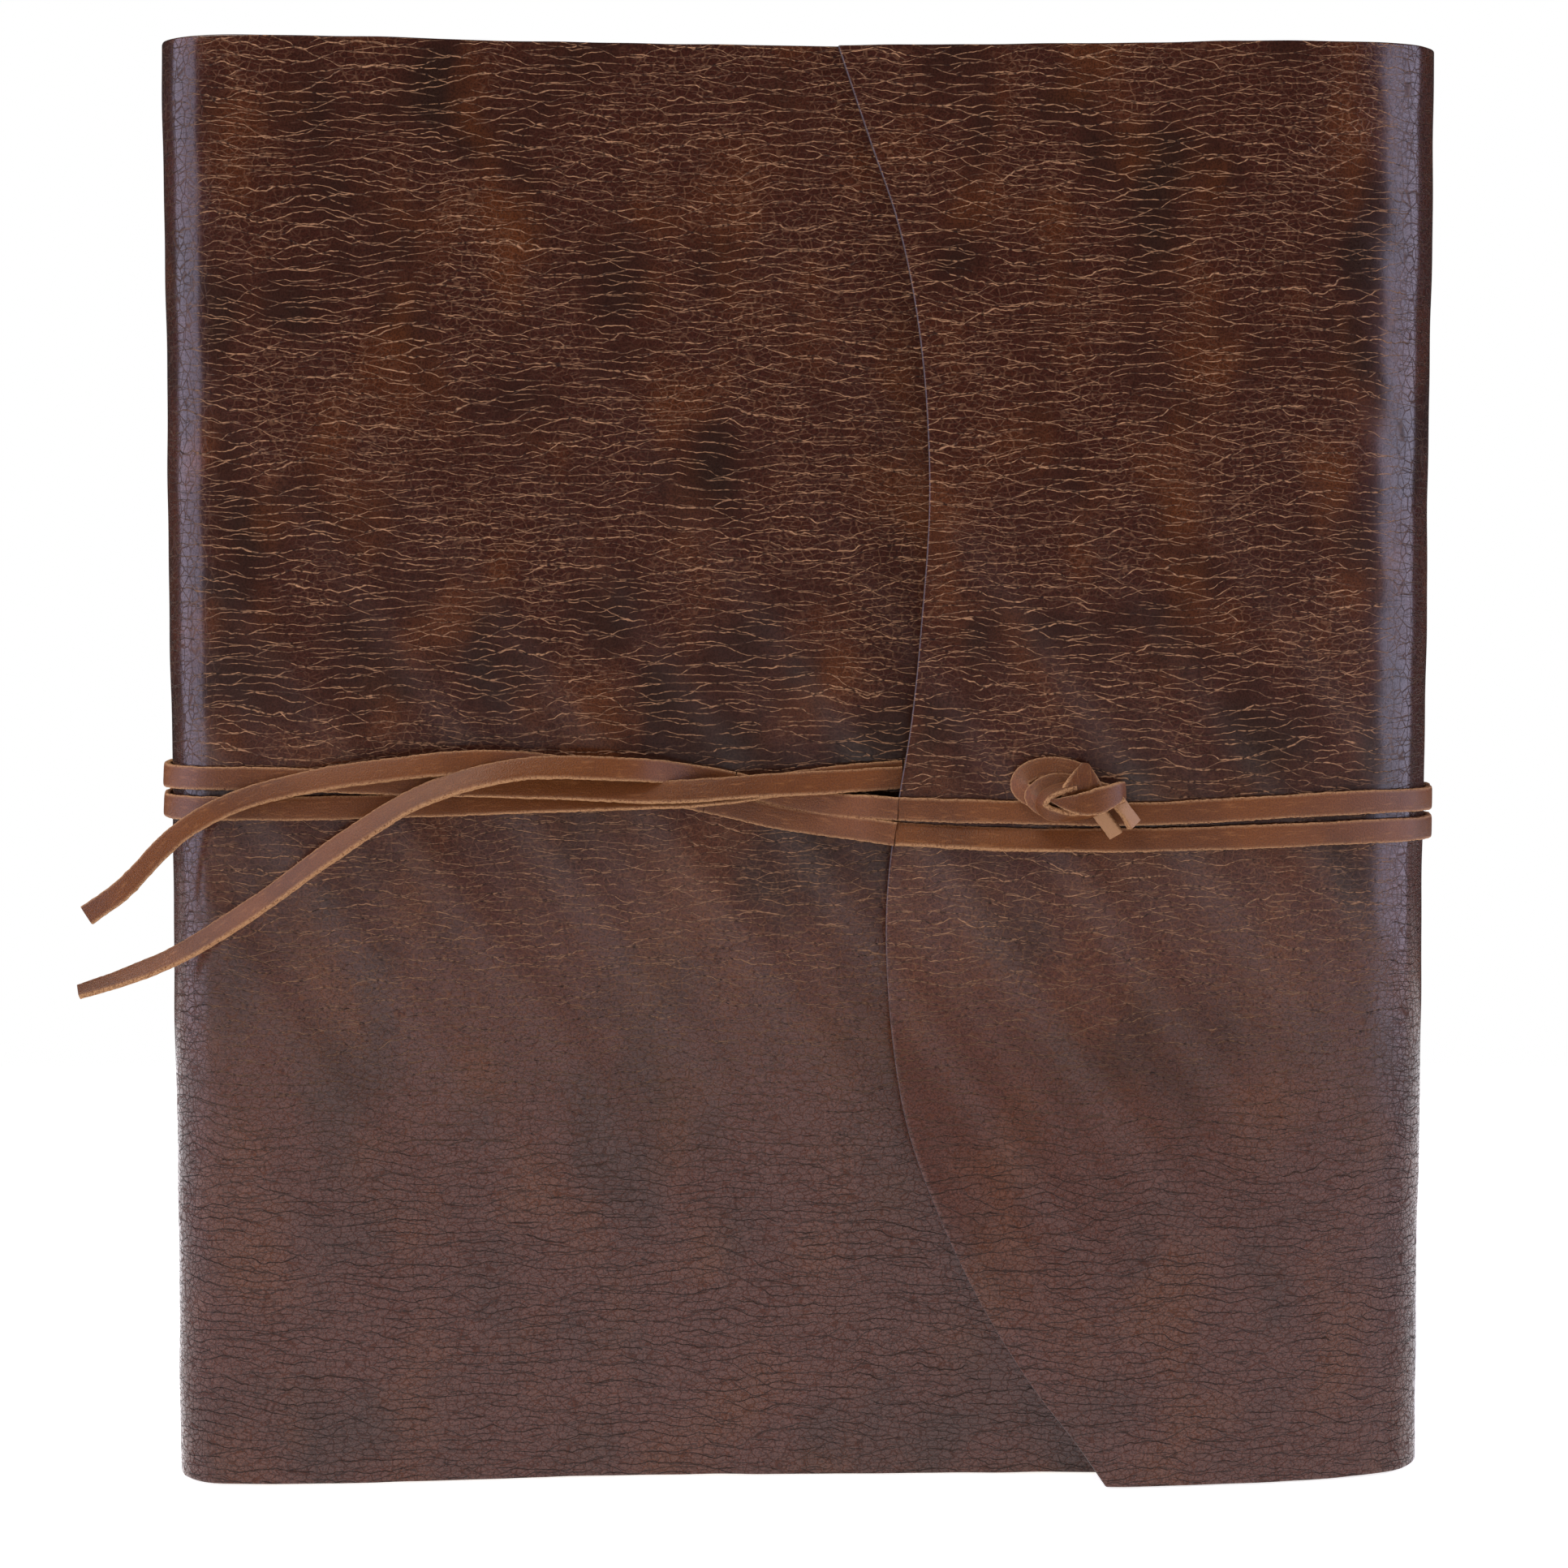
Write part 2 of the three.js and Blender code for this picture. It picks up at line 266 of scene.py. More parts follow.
def flap_rise(x: Array, z: Array) -> Array:
    """Return how far the flap stands forward of its plan line, in mm.

    Near the top the free side sinks back onto the dished cover; near the bottom it curls
    forward. Both are tables over x, and fade in over z.

    Args:
        x: Positions from left to right, in mm.
        z: Heights, in mm.

    Returns:
        The rise along the outline's normal, in mm.
    """
    x = np.asarray(x, float)
    top = np.interp(-x, [-118, -98, -79, -70, -60, -35, -8], [0.0, 0.5, 2.6, 3.9, 4.7, 4.7, 3.8])
    low = np.interp(-x, [-131, -117, -98, -74, -40, -8], [0.0, 0.6, 2.4, 4.4, 4.6, 4.4])
    return low * smooth(-np.asarray(z, float), -135, -5) - top * smooth(z, 225, 330)


def leather_height(x: Array) -> Array:
    """Return the height of the leather's top edge: a little lower away from the spine."""
    return HEIGHT - 1.0 * smooth(x, -110, -10) + 0.35 * smooth(x, 60, 120)


def to_frame(x: Array, depth: Array, z: Array) -> Array:
    """Return row-frame points in metres from x, depth and z in mm."""
    x, depth, z = np.broadcast_arrays(x, depth, z)
    return np.stack([x, depth - ORIGIN_DEPTH, z], axis=-1) * MM


# ---------------------------------------------------------------- meshes


def grid_quads(rows: int, columns: int, wrap: bool = False) -> Array:
    """List the quads of a grid whose vertices are numbered row by row.

    Args:
        rows: Number of rows.
        columns: Number of columns.
        wrap: Join the last column to the first.

    Returns:
        Vertex indices, four for each quad.
    """
    r = np.arange(rows - 1)[:, None]
    c = np.arange(columns if wrap else columns - 1)[None, :]
    n = (c + 1) % columns
    quads = np.stack(np.broadcast_arrays(
        r * columns + c, (r + 1) * columns + c, (r + 1) * columns + n, r * columns + n), axis=-1)
    return quads.reshape(-1, 4)


def make_object(
    name: str,
    points: Array,
    faces: Sequence[Sequence[int]],
    materials: Sequence[bpy.types.Material],
    attributes: Optional[Dict[str, Array]] = None,
) -> bpy.types.Object:
    """Put whole arrays into a new mesh object at the origin.

    Args:
        name: Object name.
        points: Vertices in metres, n by 3.
        faces: Vertex indices of each face.
        materials: Material slots in order.
        attributes: Point attributes, n values or n by 3 vectors each.

    Returns:
        The new object, linked to the scene and shaded smooth by angle.
    """
    mesh = bpy.data.meshes.new(name)
    rows = np.asarray(points, float).reshape(-1, 3)
    mesh.from_pydata(rows.tolist(), [], [list(face) for face in faces])
    for key, values in (attributes or {}).items():
        values = np.asarray(values, np.float32)
        kind = "FLOAT" if values.ndim == 1 else "FLOAT_VECTOR"
        layer = mesh.attributes.new(key, kind, "POINT")
        layer.data.foreach_set("value" if values.ndim == 1 else "vector", values.ravel())
    for material in materials:
        mesh.materials.append(material)
    mesh.update()
    mesh.validate()
    obj = bpy.data.objects.new(name, mesh)
    bpy.context.scene.collection.objects.link(obj)
    mesh.shade_smooth()
    mesh.set_sharp_from_angle(angle=math.radians(SHARP_ANGLE))
    return obj


def prism(
    name: str,
    outline: Array,
    low: float,
    high: float,
    materials: Sequence[bpy.types.Material],
    share: Optional[Array] = None,
) -> bpy.types.Object:
    """Make a closed upright solid over a strip-like plan outline.

    The outline is two lines of equal length, near and far, n points each; the caps are
    strips of quads between them and the walls run round them. The sign of the outline's
    area, half the sum of cross products of neighbours, tells which way round it goes.

    Args:
        name: Object name.
        outline: Array 2 by n by 2 of (x, depth): near line, far line.
        low: Height of the lower cap.
        high: Height of the upper cap.
        materials: Material slots.
        share: Optional 2 by n attribute "layer" for both lines.

    Returns:
        The new object.
    """
    near, far = outline
    n = len(near)
    ring = np.vstack([near, far[::-1]])
    m = len(ring)
    x, depth = ring.T
    points = np.vstack([to_frame(x, depth, z) for z in (low, high)])
    k = np.arange(m)
    walls = np.stack([k, (k + 1) % m, (k + 1) % m + m, k + m], axis=1)
    j = np.arange(n - 1)
    cap = np.stack([j, j + 1, m - 2 - j, m - 1 - j], axis=1)
    area = 0.5 * np.sum(x * np.roll(depth, -1) - np.roll(x, -1) * depth)
    faces = np.vstack([walls, cap[:, ::-1], cap + m])
    if area < 0:
        faces = faces[:, ::-1]
    extra = {}
    if share is not None:
        both = np.concatenate([share[0], share[1][::-1]])
        extra["layer"] = np.concatenate([both, both])
    return make_object(name, points, faces, materials, extra)


@dataclass
class Strap:
    """Flat leather lace: a rounded band carried along a path.

    The section is the superellipse |a|^5 + |b|^5 = 1, so the faces are flat and the cut
    sides rounded. Attribute "lay" holds the length run and the place across, in mm, and
    the side, from -1 on the flesh to 1 on the face. Attribute "raw" is 1 on the cut sides.
    """

    width: float = 5.6
    thickness: float = 1.75
    section: int = 20
    power: float = 0.4
    swell: float = 0.035
    swell_wave: float = 31.0
    ragged: float = 0.018
    lip: float = 0.06

    def build(
        self,
        name: str,
        path: Array,
        face: Array,
        material: bpy.types.Material,
        run_start: float = 0.0,
        seed: float = 0.0,
        scale: Optional[Sequence[float]] = None,
        lean: Optional[Sequence[float]] = None,
    ) -> bpy.types.Object:
        """Carry the section along a path.

        Args:
            name: Object name.
            path: Centreline, n by 3, as x, depth, z in mm.
            face: Outward face direction at each point, n by 3.
            material: Lace material.
            run_start: Length already run before the first point, in mm.
            seed: Phase of the small changes in width.
            scale: Optional factors on the width, evenly spread along the path.
            lean: Optional upward parts added to the face direction, evenly spread.

        Returns:
            The lace piece, closed at both ends.
        """
        path = np.asarray(path, float)
        share = np.linspace(0, 1, len(path))
        if lean is not None:
            tilt = np.interp(share, np.linspace(0, 1, len(lean)), lean)
            face = face + tilt[:, None] * np.array([0.0, 0.0, 1.0])
        step = np.gradient(path, axis=0)
        tangent = step / np.linalg.norm(step, axis=1, keepdims=True)
        flat = face - np.sum(face * tangent, axis=1, keepdims=True) * tangent
        flat /= np.linalg.norm(flat, axis=1, keepdims=True)
        side = np.cross(tangent, flat)
        run = run_start + run_length(path)
        angle = np.linspace(0, 2 * math.pi, self.section, endpoint=False) + math.pi / self.section
        c, s = np.cos(angle), np.sin(angle)
        across = np.sign(c) * np.abs(c) ** self.power
        up = np.sign(s) * np.abs(s) ** self.power
        half = 0.5 * self.width * (1 + self.swell * wander(run, seed, self.swell_wave))
        if scale is not None:
            half = half * np.interp(share, np.linspace(0, 1, len(scale)), scale)
        rows = len(path)
        draw = np.random.default_rng(int(100 * seed) + 7).normal(0.0, self.ragged, (rows, 2))
        edge = np.where(across[None, :] > 0, draw[:, :1], draw[:, 1:])
        a = half[:, None] * (1 + edge) * across[None, :]
        lip = 1 + self.lip * np.abs(across[None, :]) ** 4
        b = 0.5 * self.thickness * up[None, :] * lip
        points = path[:, None, :] + a[..., None] * side[:, None, :]
        points = points + b[..., None] * flat[:, None, :]
        first = list(range(self.section))
        last = [(rows - 1) * self.section + k for k in reversed(first)]
        faces = grid_quads(rows, self.section, wrap=True).tolist() + [first, last]
        lay = np.stack(np.broadcast_arrays(run[:, None], a, up[None, :]), axis=-1)
        raw = np.broadcast_to(smooth(np.abs(across), 0.80, 0.97)[None, :], a.shape)
        obj = make_object(name, to_frame(*points.reshape(-1, 3).T), faces, [material],
                          {"lay": lay.reshape(-1, 3), "raw": raw.reshape(-1)})
        return face_outwards(obj)


def face_outwards(obj: bpy.types.Object) -> bpy.types.Object:
    """Turn every face round if the closed mesh has a negative volume.

    Six times the volume is the sum of a . (b x c) over the mesh's triangles.

    Args:
        obj: A closed mesh object, changed in place.

    Returns:
        The same object.
    """
    mesh = obj.data
    co = np.empty(len(mesh.vertices) * 3)
    mesh.vertices.foreach_get("co", co)
    co = co.reshape(-1, 3)
    mesh.calc_loop_triangles()
    tri = np.empty(len(mesh.loop_triangles) * 3, np.int32)
    mesh.loop_triangles.foreach_get("vertices", tri)
    a, b, c = (co[tri.reshape(-1, 3)[:, k]] for k in range(3))
    if np.sum(a * np.cross(b, c)) < 0:
        mesh.flip_normals()
    return obj


# ---------------------------------------------------------------- shader language


class Term:
    """One socket of a node tree that takes part in arithmetic."""

    def __init__(self, graph: "Graph", socket: bpy.types.NodeSocket) -> None:
        """Remember the tree and the socket."""
        self.graph = graph
        self.socket = socket

    def __add__(self, other: "Number") -> "Term":
        """Sum."""
        return self.graph.math("ADD", self, other)

    __radd__ = __add__

    def __sub__(self, other: "Number") -> "Term":
        """Difference."""
        return self.graph.math("SUBTRACT", self, other)

    def __rsub__(self, other: "Number") -> "Term":
        """Difference from a number."""
        return self.graph.math("SUBTRACT", other, self)

    def __mul__(self, other: "Number") -> "Term":
        """Product."""
        return self.graph.math("MULTIPLY", self, other)

    __rmul__ = __mul__

    def __truediv__(self, other: "Number") -> "Term":
        """Quotient."""
        return self.graph.math("DIVIDE", self, other)

    def __abs__(self) -> "Term":
        """Size without sign."""
        return self.graph.math("ABSOLUTE", self)

    def __pow__(self, other: "Number") -> "Term":
        """Power."""
        return self.graph.math("POWER", self, other)

    def fraction(self) -> "Term":
        """Part after the decimal point."""
        return self.graph.math("FRACT", self)

    def most(self, other: "Number") -> "Term":
        """Larger of two."""
        return self.graph.math("MAXIMUM", self, other)

    def step(self, low: float, high: float) -> "Term":
        """Rise smoothly from 0 at low to 1 at high, or fall where low is the larger.

        Args:
            low: Value where the result is 0.
            high: Value where the result is 1.

        Returns:
            The smoothed step.
        """
        node = self.graph.node(
            "ShaderNodeMapRange", {"interpolation_type": "SMOOTHSTEP"},
            {"Value": self, "From Min": min(low, high), "From Max": max(low, high),
             "To Min": 0.0 if low < high else 1.0, "To Max": 1.0 if low < high else 0.0})
        return Term(self.graph, node.outputs["Result"])


Number = Union[Term, float]
Paint = Union[Term, Colour]


class Graph:
    """Node tree of one material, built from expressions."""

    def __init__(self, name: str) -> None:
        """Make an empty material with an output.

        Args:
            name: Material name.
        """
        self.material = bpy.data.materials.new(name)
        self.material.use_nodes = True
        self.tree = self.material.node_tree
        self.tree.nodes.clear()
        self.output = self.tree.nodes.new("ShaderNodeOutputMaterial")

    def node(
        self, kind: str, settings: Optional[dict] = None, inputs: Optional[dict] = None,
    ) -> bpy.types.Node:
        """Add a node: its settings first, then its sockets.

        Args:
            kind: Node type.
            settings: Properties of the node.
            inputs: Values or links of its sockets, by name or number.

        Returns:
            The new node.
        """
        made = self.tree.nodes.new(kind)
        for key, value in (settings or {}).items():
            setattr(made, key, value)
        for key, value in (inputs or {}).items():
            if isinstance(value, Term):
                self.tree.links.new(value.socket, made.inputs[key])
            else:
                made.inputs[key].default_value = value
        return made

    def math(self, operation: str, *values: Number) -> Term:
        """Add a Math node."""
        made = self.node("ShaderNodeMath", {"operation": operation}, dict(enumerate(values)))
        return Term(self, made.outputs[0])

    def blend(self, factor: Number, first: "Paint", second: "Paint") -> Term:
        """Mix two colours.

        Args:
            factor: Share of the second colour, held to 0 to 1.
            first: Colour at factor 0.
            second: Colour at factor 1.

        Returns:
            The mixed colour.
        """
        first, second = (v if isinstance(v, Term) else (*v, 1.0) for v in (first, second))
        made = self.node("ShaderNodeMix", {"data_type": "RGBA", "clamp_factor": True},
                         {0: factor, 6: first, 7: second})
        return Term(self, made.outputs[2])

    def place(self, scale: Sequence[float] = (1, 1, 1), shift: Sequence[float] = (0, 0, 0)) -> Term:
        """Take the object position in mm, scaled and then shifted along each axis.

        Args:
            scale: Factor on each axis.
            shift: Added to each axis.

        Returns:
            The vector.
        """
        where = self.node("ShaderNodeTexCoord").outputs["Object"]
        made = self.node(
            "ShaderNodeVectorMath", {"operation": "MULTIPLY_ADD"},
            {0: Term(self, where), 1: tuple(s / MM for s in scale), 2: tuple(shift)})
        return Term(self, made.outputs[0])

    def attribute(self, name: str, output: str) -> Term:
        """Attribute of the piece, as its Vector or its Fac."""
        made = self.node("ShaderNodeAttribute", {"attribute_name": name})
        return Term(self, made.outputs[output])

    def parts(self, vector: Term) -> Tuple[Term, Term, Term]:
        """Split a vector."""
        made = self.node("ShaderNodeSeparateXYZ", None, {0: vector})
        return tuple(Term(self, made.outputs[k]) for k in range(3))

    def stretch(self, vector: Term, scale: Sequence[float]) -> Term:
        """Multiply a vector by a factor on each axis.

        Args:
            vector: The vector.
            scale: The factors.

        Returns:
            The product.
        """
        made = self.node(
            "ShaderNodeVectorMath", {"operation": "MULTIPLY"}, {0: vector, 1: tuple(scale)})
        return Term(self, made.outputs[0])

    def noise(self, vector: Term, detail: float = 2.0, rough: float = 0.5) -> Term:
        """Add a noise of about one wave to each unit of the vector.

        Args:
            vector: Where in the noise.
            detail: Number of finer octaves.
            rough: Strength of the finer octaves.

        Returns:
            A value near 0 to 1.
        """
        made = self.node("ShaderNodeTexNoise", None,
                         {"Vector": vector, "Scale": 1.0, "Detail": detail, "Roughness": rough})
        return Term(self, made.outputs[0])

    def grains(self, size: Sequence[float], shift: Sequence[float] = (0, 0, 0), detail: float = 2.0,
               rough: float = 0.5) -> Term:
        """Make noise whose blots have a given size.

        Args:
            size: Size along each axis, in mm.
            shift: Shift of the pattern.
            detail: Number of finer octaves.
            rough: Strength of the finer octaves.

        Returns:
            A value near 0 to 1.
        """
        return self.noise(self.place([1 / side for side in size], shift), detail, rough)

    def cells(self, size: Sequence[float], shift: Sequence[float] = (0, 0, 0)) -> Term:
        """Distance to the nearest edge of a net of cells.

        Args:
            size: Size of a cell along each axis, in mm.
            shift: Shift of the pattern.

        Returns:
            The distance, 1 for a whole cell.
        """
        where = self.place([1 / side for side in size], shift)
        made = self.node("ShaderNodeTexVoronoi", {"feature": "DISTANCE_TO_EDGE"},
                         {"Vector": where, "Scale": 1.0})
        return Term(self, made.outputs["Distance"])

    def finish(
        self,
        colour: Paint,
        roughness: Number,
        height: Optional[Term] = None,
        bump: float = 1.0,
        others: Optional[Dict[str, object]] = None,
    ) -> bpy.types.Material:
        """Close the graph with a Principled shader.

        Args:
            colour: Base colour.
            roughness: Roughness.
            height: Height of the surface in mm, for the bump.
            bump: Strength of the bump.
            others: Values or links of other sockets.

        Returns:
            The material.
        """
        inputs: Dict[str, object] = {
            "Base Color": colour if isinstance(colour, Term) else (*colour, 1.0),
            "Roughness": roughness,
        }
        if height is not None:
            raised = self.node(
                "ShaderNodeBump", None, {"Height": height, "Distance": MM, "Strength": bump})
            inputs["Normal"] = Term(self, raised.outputs[0])
        inputs.update(others or {})
        shader = self.node("ShaderNodeBsdfPrincipled", None, inputs)
        self.tree.links.new(shader.outputs[0], self.output.inputs["Surface"])
        return self.material


# ---------------------------------------------------------------- finishes


@dataclass(frozen=True)
class WrapLeather:
    """Waxed cover leather: mottled dark red-brown, fine grain and long crossing creases.

    The wax is a coat that is missing in the creases and pits, so they stay dull. The creases'
    colour is painted light: high on the cover they are painted pale, a painted highlight where
    they catch the light; low down and on the rounded sides they are painted dark, as painted
    shade. Lower on the cover the ground is painted lighter and its dark mottling weaker, a
    painted reflection of the bright floor. The rounded sides beyond rounded_from carry an
    upright net.
    """

    base: Colour = (0.041, 0.0112, 0.0066)
    dark: Colour = (0.017, 0.0090, 0.0056)
    warm: Colour = (0.100, 0.028, 0.0080)
    # lighter colour low on the cover: a painted reflection of the bright floor
    low: Colour = (0.078, 0.0225, 0.0125)
    # pale crease colour: a painted highlight where the creases catch the light high on the cover
    crack_painted_highlight: Colour = (0.44, 0.23, 0.12)
    # dark crease colour: painted shade in the creases low down and on the rounded sides; it also
    # darkens the grain's pits
    crack_dark: Colour = (0.010, 0.004, 0.003)
    spacing: Tuple[float, ...] = (2.5, 4.1, 4.6)
    slope: Tuple[float, ...] = (0.02, 0.17, -0.16)
    seeds: Tuple[float, ...] = (3.0, 17.0, 41.0)
    faint: float = 0.8
    rounded_from: float = 133.0
    rounded_to: float = 145.0

    def crease(self, g: Graph, spacing: float, slope: float, seed: float) -> Term:
        """Draw long wavy lines: where height, bent by noise, passes each multiple of spacing.

        Args:
            g: Node tree.
            spacing: Distance between lines, in mm.
            slope: Rise of the lines along x.
            seed: Shift of the noises.

        Returns:
            1 on a line, 0 between lines.
        """
        x, _, z = g.parts(g.place())
        swell = g.grains((26, 26, 20), (seed, 0, seed), 1.0) - 0.5
        ripple = g.grains((5.5, 5.5, 6), (0, seed, 0), 2.0) - 0.5
        phase = (z + x * slope + swell * 10.0 + ripple * 2.8) * (1 / spacing)
        away = abs(phase.fraction() - 0.5) * spacing
        broken = g.grains((9, 9, 2.8), (seed, seed, 0), 1.0).step(0.36, 0.54)
        return away.step(0.155, 0.03) * broken

    def creases(self, g: Graph) -> Term:
        """Lay three families of lines over each other, the second and third fainter.

        Args:
            g: Node tree.

        Returns:
            1 on a line, 0 between lines.
        """
        lines = [self.crease(g, *family) for family in zip(self.spacing, self.slope, self.seeds)]
        return lines[0].most(lines[1] * self.faint).most(lines[2] * self.faint)

    def build(self) -> bpy.types.Material:
        """Make the material.

        Returns:
            The material.
        """
        g = Graph("wrap_leather")
        x, _, z = g.parts(g.place())
        lower = z.step(200.0, 90.0)
        rounded = abs(x).step(self.rounded_from, self.rounded_to)
        shade = g.grains((24, 24, 30))
        glow = g.grains((20, 20, 28), (31, 7, 12))
        grain = g.grains((0.42, 0.42, 0.42), rough=0.6)
        fleck = g.grains((0.9, 0.9, 0.9), (2, 3, 4), 1.0)

        lines = self.creases(g)
        upright = g.cells((2.1, 2.1, 3.6), (9, 2, 4)).step(0.075, 0.01)
        net_seen = (shade.step(0.62, 0.38) * 0.6).most(z.step(190.0, 120.0) * 0.8)
        net = (g.cells((2.4, 2.4, 1.35)).step(0.10, 0.015) * net_seen).most(upright * rounded)

        # Painted reflection: lower on the cover the ground is lighter and the dark mottling weaker,
        # standing in for the bright floor reflected there.
        ground = g.blend(lower, self.base, self.low)
        ground = g.blend(shade.step(0.46, 0.74) * (0.8 - lower * 0.35), ground, self.dark)
        ground = g.blend(glow.step(0.46, 0.76) * 0.75, ground, self.warm)
        ground = g.blend(grain.step(0.62, 0.34) * 0.62, ground, self.crack_dark)
        # Painted highlight and painted shade: the crease colour runs from painted pale high on the
        # cover to painted dark low down and on the rounded sides, speckled by fleck.
        lit = (1.0 - z.step(175.0, 60.0) * 0.96) * (1.0 - rounded * 0.85)
        line_colour = g.blend(lit * fleck.step(0.25, 0.62), self.crack_dark, self.crack_painted_highlight)
        colour = g.blend(lines * 0.9, ground, line_colour)
        colour = g.blend(net * (0.25 + rounded * 0.1), colour, line_colour)

        height = grain * 0.06 - lines * 0.30 - net * (0.06 + rounded * 0.10)
        rough = 0.17 + grain * 0.12 + lines * 0.45 + net * (0.08 + rounded * 0.3)
        pits = grain.step(0.56, 0.38)
        wax = 1.0 - (lines * 0.95).most(pits * 0.42).most(net * 0.9)
        return g.finish(colour, rough, height, 0.9, {
            "Coat Weight": wax, "Coat Roughness": 0.2, "Coat IOR": 1.41,
            "IOR": 1.45, "Specular IOR Level": 0.1})


@dataclass(frozen=True)
class CutLeather:
    """Dark sealed edge of the cover leather."""

    colour: Colour = (0.035, 0.024, 0.024)
    # lighter wear on the edge's fibres
    wear_and_painted_highlight: Colour = (0.11, 0.075, 0.062)

    def build(self) -> bpy.types.Material:
        """Make the material.

        Returns:
            The material.
        """
        g = Graph("cut_leather")
        fibre = g.grains((1.4, 1.4, 1.4), detail=3.0, rough=0.6)
        colour = g.blend(fibre.step(0.5, 0.75) * 0.6, self.colour, self.wear_and_painted_highlight)
        return g.finish(colour, 0.6, fibre * 0.12, 0.8)


@dataclass(frozen=True)
class FleshSide:
    """Napped inner side of the leather."""

    colour: Colour = (0.13, 0.072, 0.043)
    nap: Colour = (0.19, 0.112, 0.07)

    def build(self) -> bpy.types.Material:
        """Make the material.

        Returns:
            The material.
        """
        g = Graph("flesh_side")
        fuzz = g.grains((0.8, 0.8, 0.8), detail=4.0, rough=0.65)
        patch = g.grains((24, 24, 24))
        colour = g.blend(patch.step(0.35, 0.7) * 0.6 + fuzz * 0.3, self.colour, self.nap)
        sheen = {"Sheen Weight": 0.25, "Sheen Roughness": 0.5}
        return g.finish(colour, 0.9, fuzz * 0.25, 0.8, sheen)


@dataclass(frozen=True)
class LaceLeather:
    """Mid-brown lace with fine grain, pale raw sides and lighter lengthwise streaks, which are
    painted highlights.
    """

    face: Colour = (0.142, 0.043, 0.0085)
    deep: Colour = (0.072, 0.021, 0.0050)
    wear_and_painted_highlight: Colour = (0.27, 0.108, 0.034)
    raw: Colour = (0.40, 0.210, 0.092)

    def build(self) -> bpy.types.Material:
        """Make the material.

        Returns:
            The material.
        """
        g = Graph("lace_leather")
        lay = g.attribute("lay", "Vector")
        edge = g.attribute("raw", "Fac")
        highlight_streak = g.noise(g.stretch(lay, (0.25, 1.3, 0.6)), 3.0, 0.6)
        grain = g.noise(g.stretch(lay, (2.6, 2.6, 1.0)), 3.0, 0.65)
        patch = g.grains((17, 17, 17))
        fuzz = g.grains((0.45, 0.45, 0.45), rough=0.6)
        flesh = g.parts(lay)[2].step(0.1, -0.5)
        dim = patch.step(0.40, 0.66) * 0.45 + grain.step(0.42, 0.62) * 0.6
        colour = g.blend(dim, self.face, self.deep)
        # Painted highlight: lighter streaks along the lace's length.
        colour = g.blend(highlight_streak.step(0.55, 0.78) * 0.5, colour, self.wear_and_painted_highlight)
        colour = g.blend((edge * fuzz.step(0.28, 0.55) * 0.9).most(flesh * 0.6), colour, self.raw)
        height = fuzz * edge * 0.3 - grain * 0.16
        rough = 0.30 + grain * 0.15 + edge * 0.4
        return g.finish(colour, rough, height, 0.9, {"IOR": 1.45, "Specular IOR Level": 0.36})


@dataclass(frozen=True)
class LeafPaper:
    """Edges of cream paper, with the lines of single leaves across each section."""

    pale: Colour = (0.78, 0.71, 0.58)
    dusk: Colour = (0.52, 0.45, 0.34)
    leaves: int = 16

    def build(self) -> bpy.types.Material:
        """Make the material.

        Returns:
            The material.
        """
        g = Graph("leaf_paper")
        layer = g.attribute("layer", "Fac")
        wave = g.grains((30, 3, 30))
        phase = (layer * float(self.leaves) + wave * 1.2).fraction()
        slit = abs(phase - 0.5).step(0.30, 0.48)
        fibre = g.grains((1.2, 0.4, 1.2), detail=3.0)
        colour = g.blend(slit * 0.7 + fibre * 0.25, self.pale, self.dusk)
        return g.finish(colour, 0.88, fibre * 0.05 - slit * 0.12, 0.7)


@dataclass(frozen=True)
class PlainFibre:
    """Paper, cloth or thread: a pale ground with fine weave or fibre."""

    name: str
    pale: Colour
    dusk: Colour
    pitch: float = 0.7

    def build(self) -> bpy.types.Material:
        """Make the material.

        Returns:
            The material.
        """
        g = Graph(self.name)
        fibre = g.grains((self.pitch,) * 3, detail=3.0, rough=0.6)
        patch = g.grains((40, 40, 40), detail=1.0)
        colour = g.blend(fibre.step(0.3, 0.7) * 0.6 + patch * 0.2, self.pale, self.dusk)
        return g.finish(colour, 0.85, fibre * 0.08, 0.7)


ENDPAPER = PlainFibre("endpaper", (0.62, 0.53, 0.37), (0.5, 0.41, 0.27))
MULL = PlainFibre("mull_cloth", (0.6, 0.56, 0.46), (0.4, 0.37, 0.3), 0.9)
TAPE = PlainFibre("linen_tape", (0.68, 0.63, 0.52), (0.5, 0.45, 0.36), 0.5)
THREAD = PlainFibre("linen_thread", (0.72, 0.68, 0.58), (0.55, 0.5, 0.4), 0.3)


@dataclass
class Finishes:
    """All materials of the album, each made once."""

    wrap: bpy.types.Material = field(default_factory=WrapLeather().build)
    cut: bpy.types.Material = field(default_factory=CutLeather().build)
    flesh: bpy.types.Material = field(default_factory=FleshSide().build)
    lace: bpy.types.Material = field(default_factory=LaceLeather().build)
    leaf: bpy.types.Material = field(default_factory=LeafPaper().build)
    endpaper: bpy.types.Material = field(default_factory=ENDPAPER.build)
    mull: bpy.types.Material = field(default_factory=MULL.build)
    tape: bpy.types.Material = field(default_factory=TAPE.build)
    thread: bpy.types.Material = field(default_factory=THREAD.build)


# ---------------------------------------------------------------- leather wrap


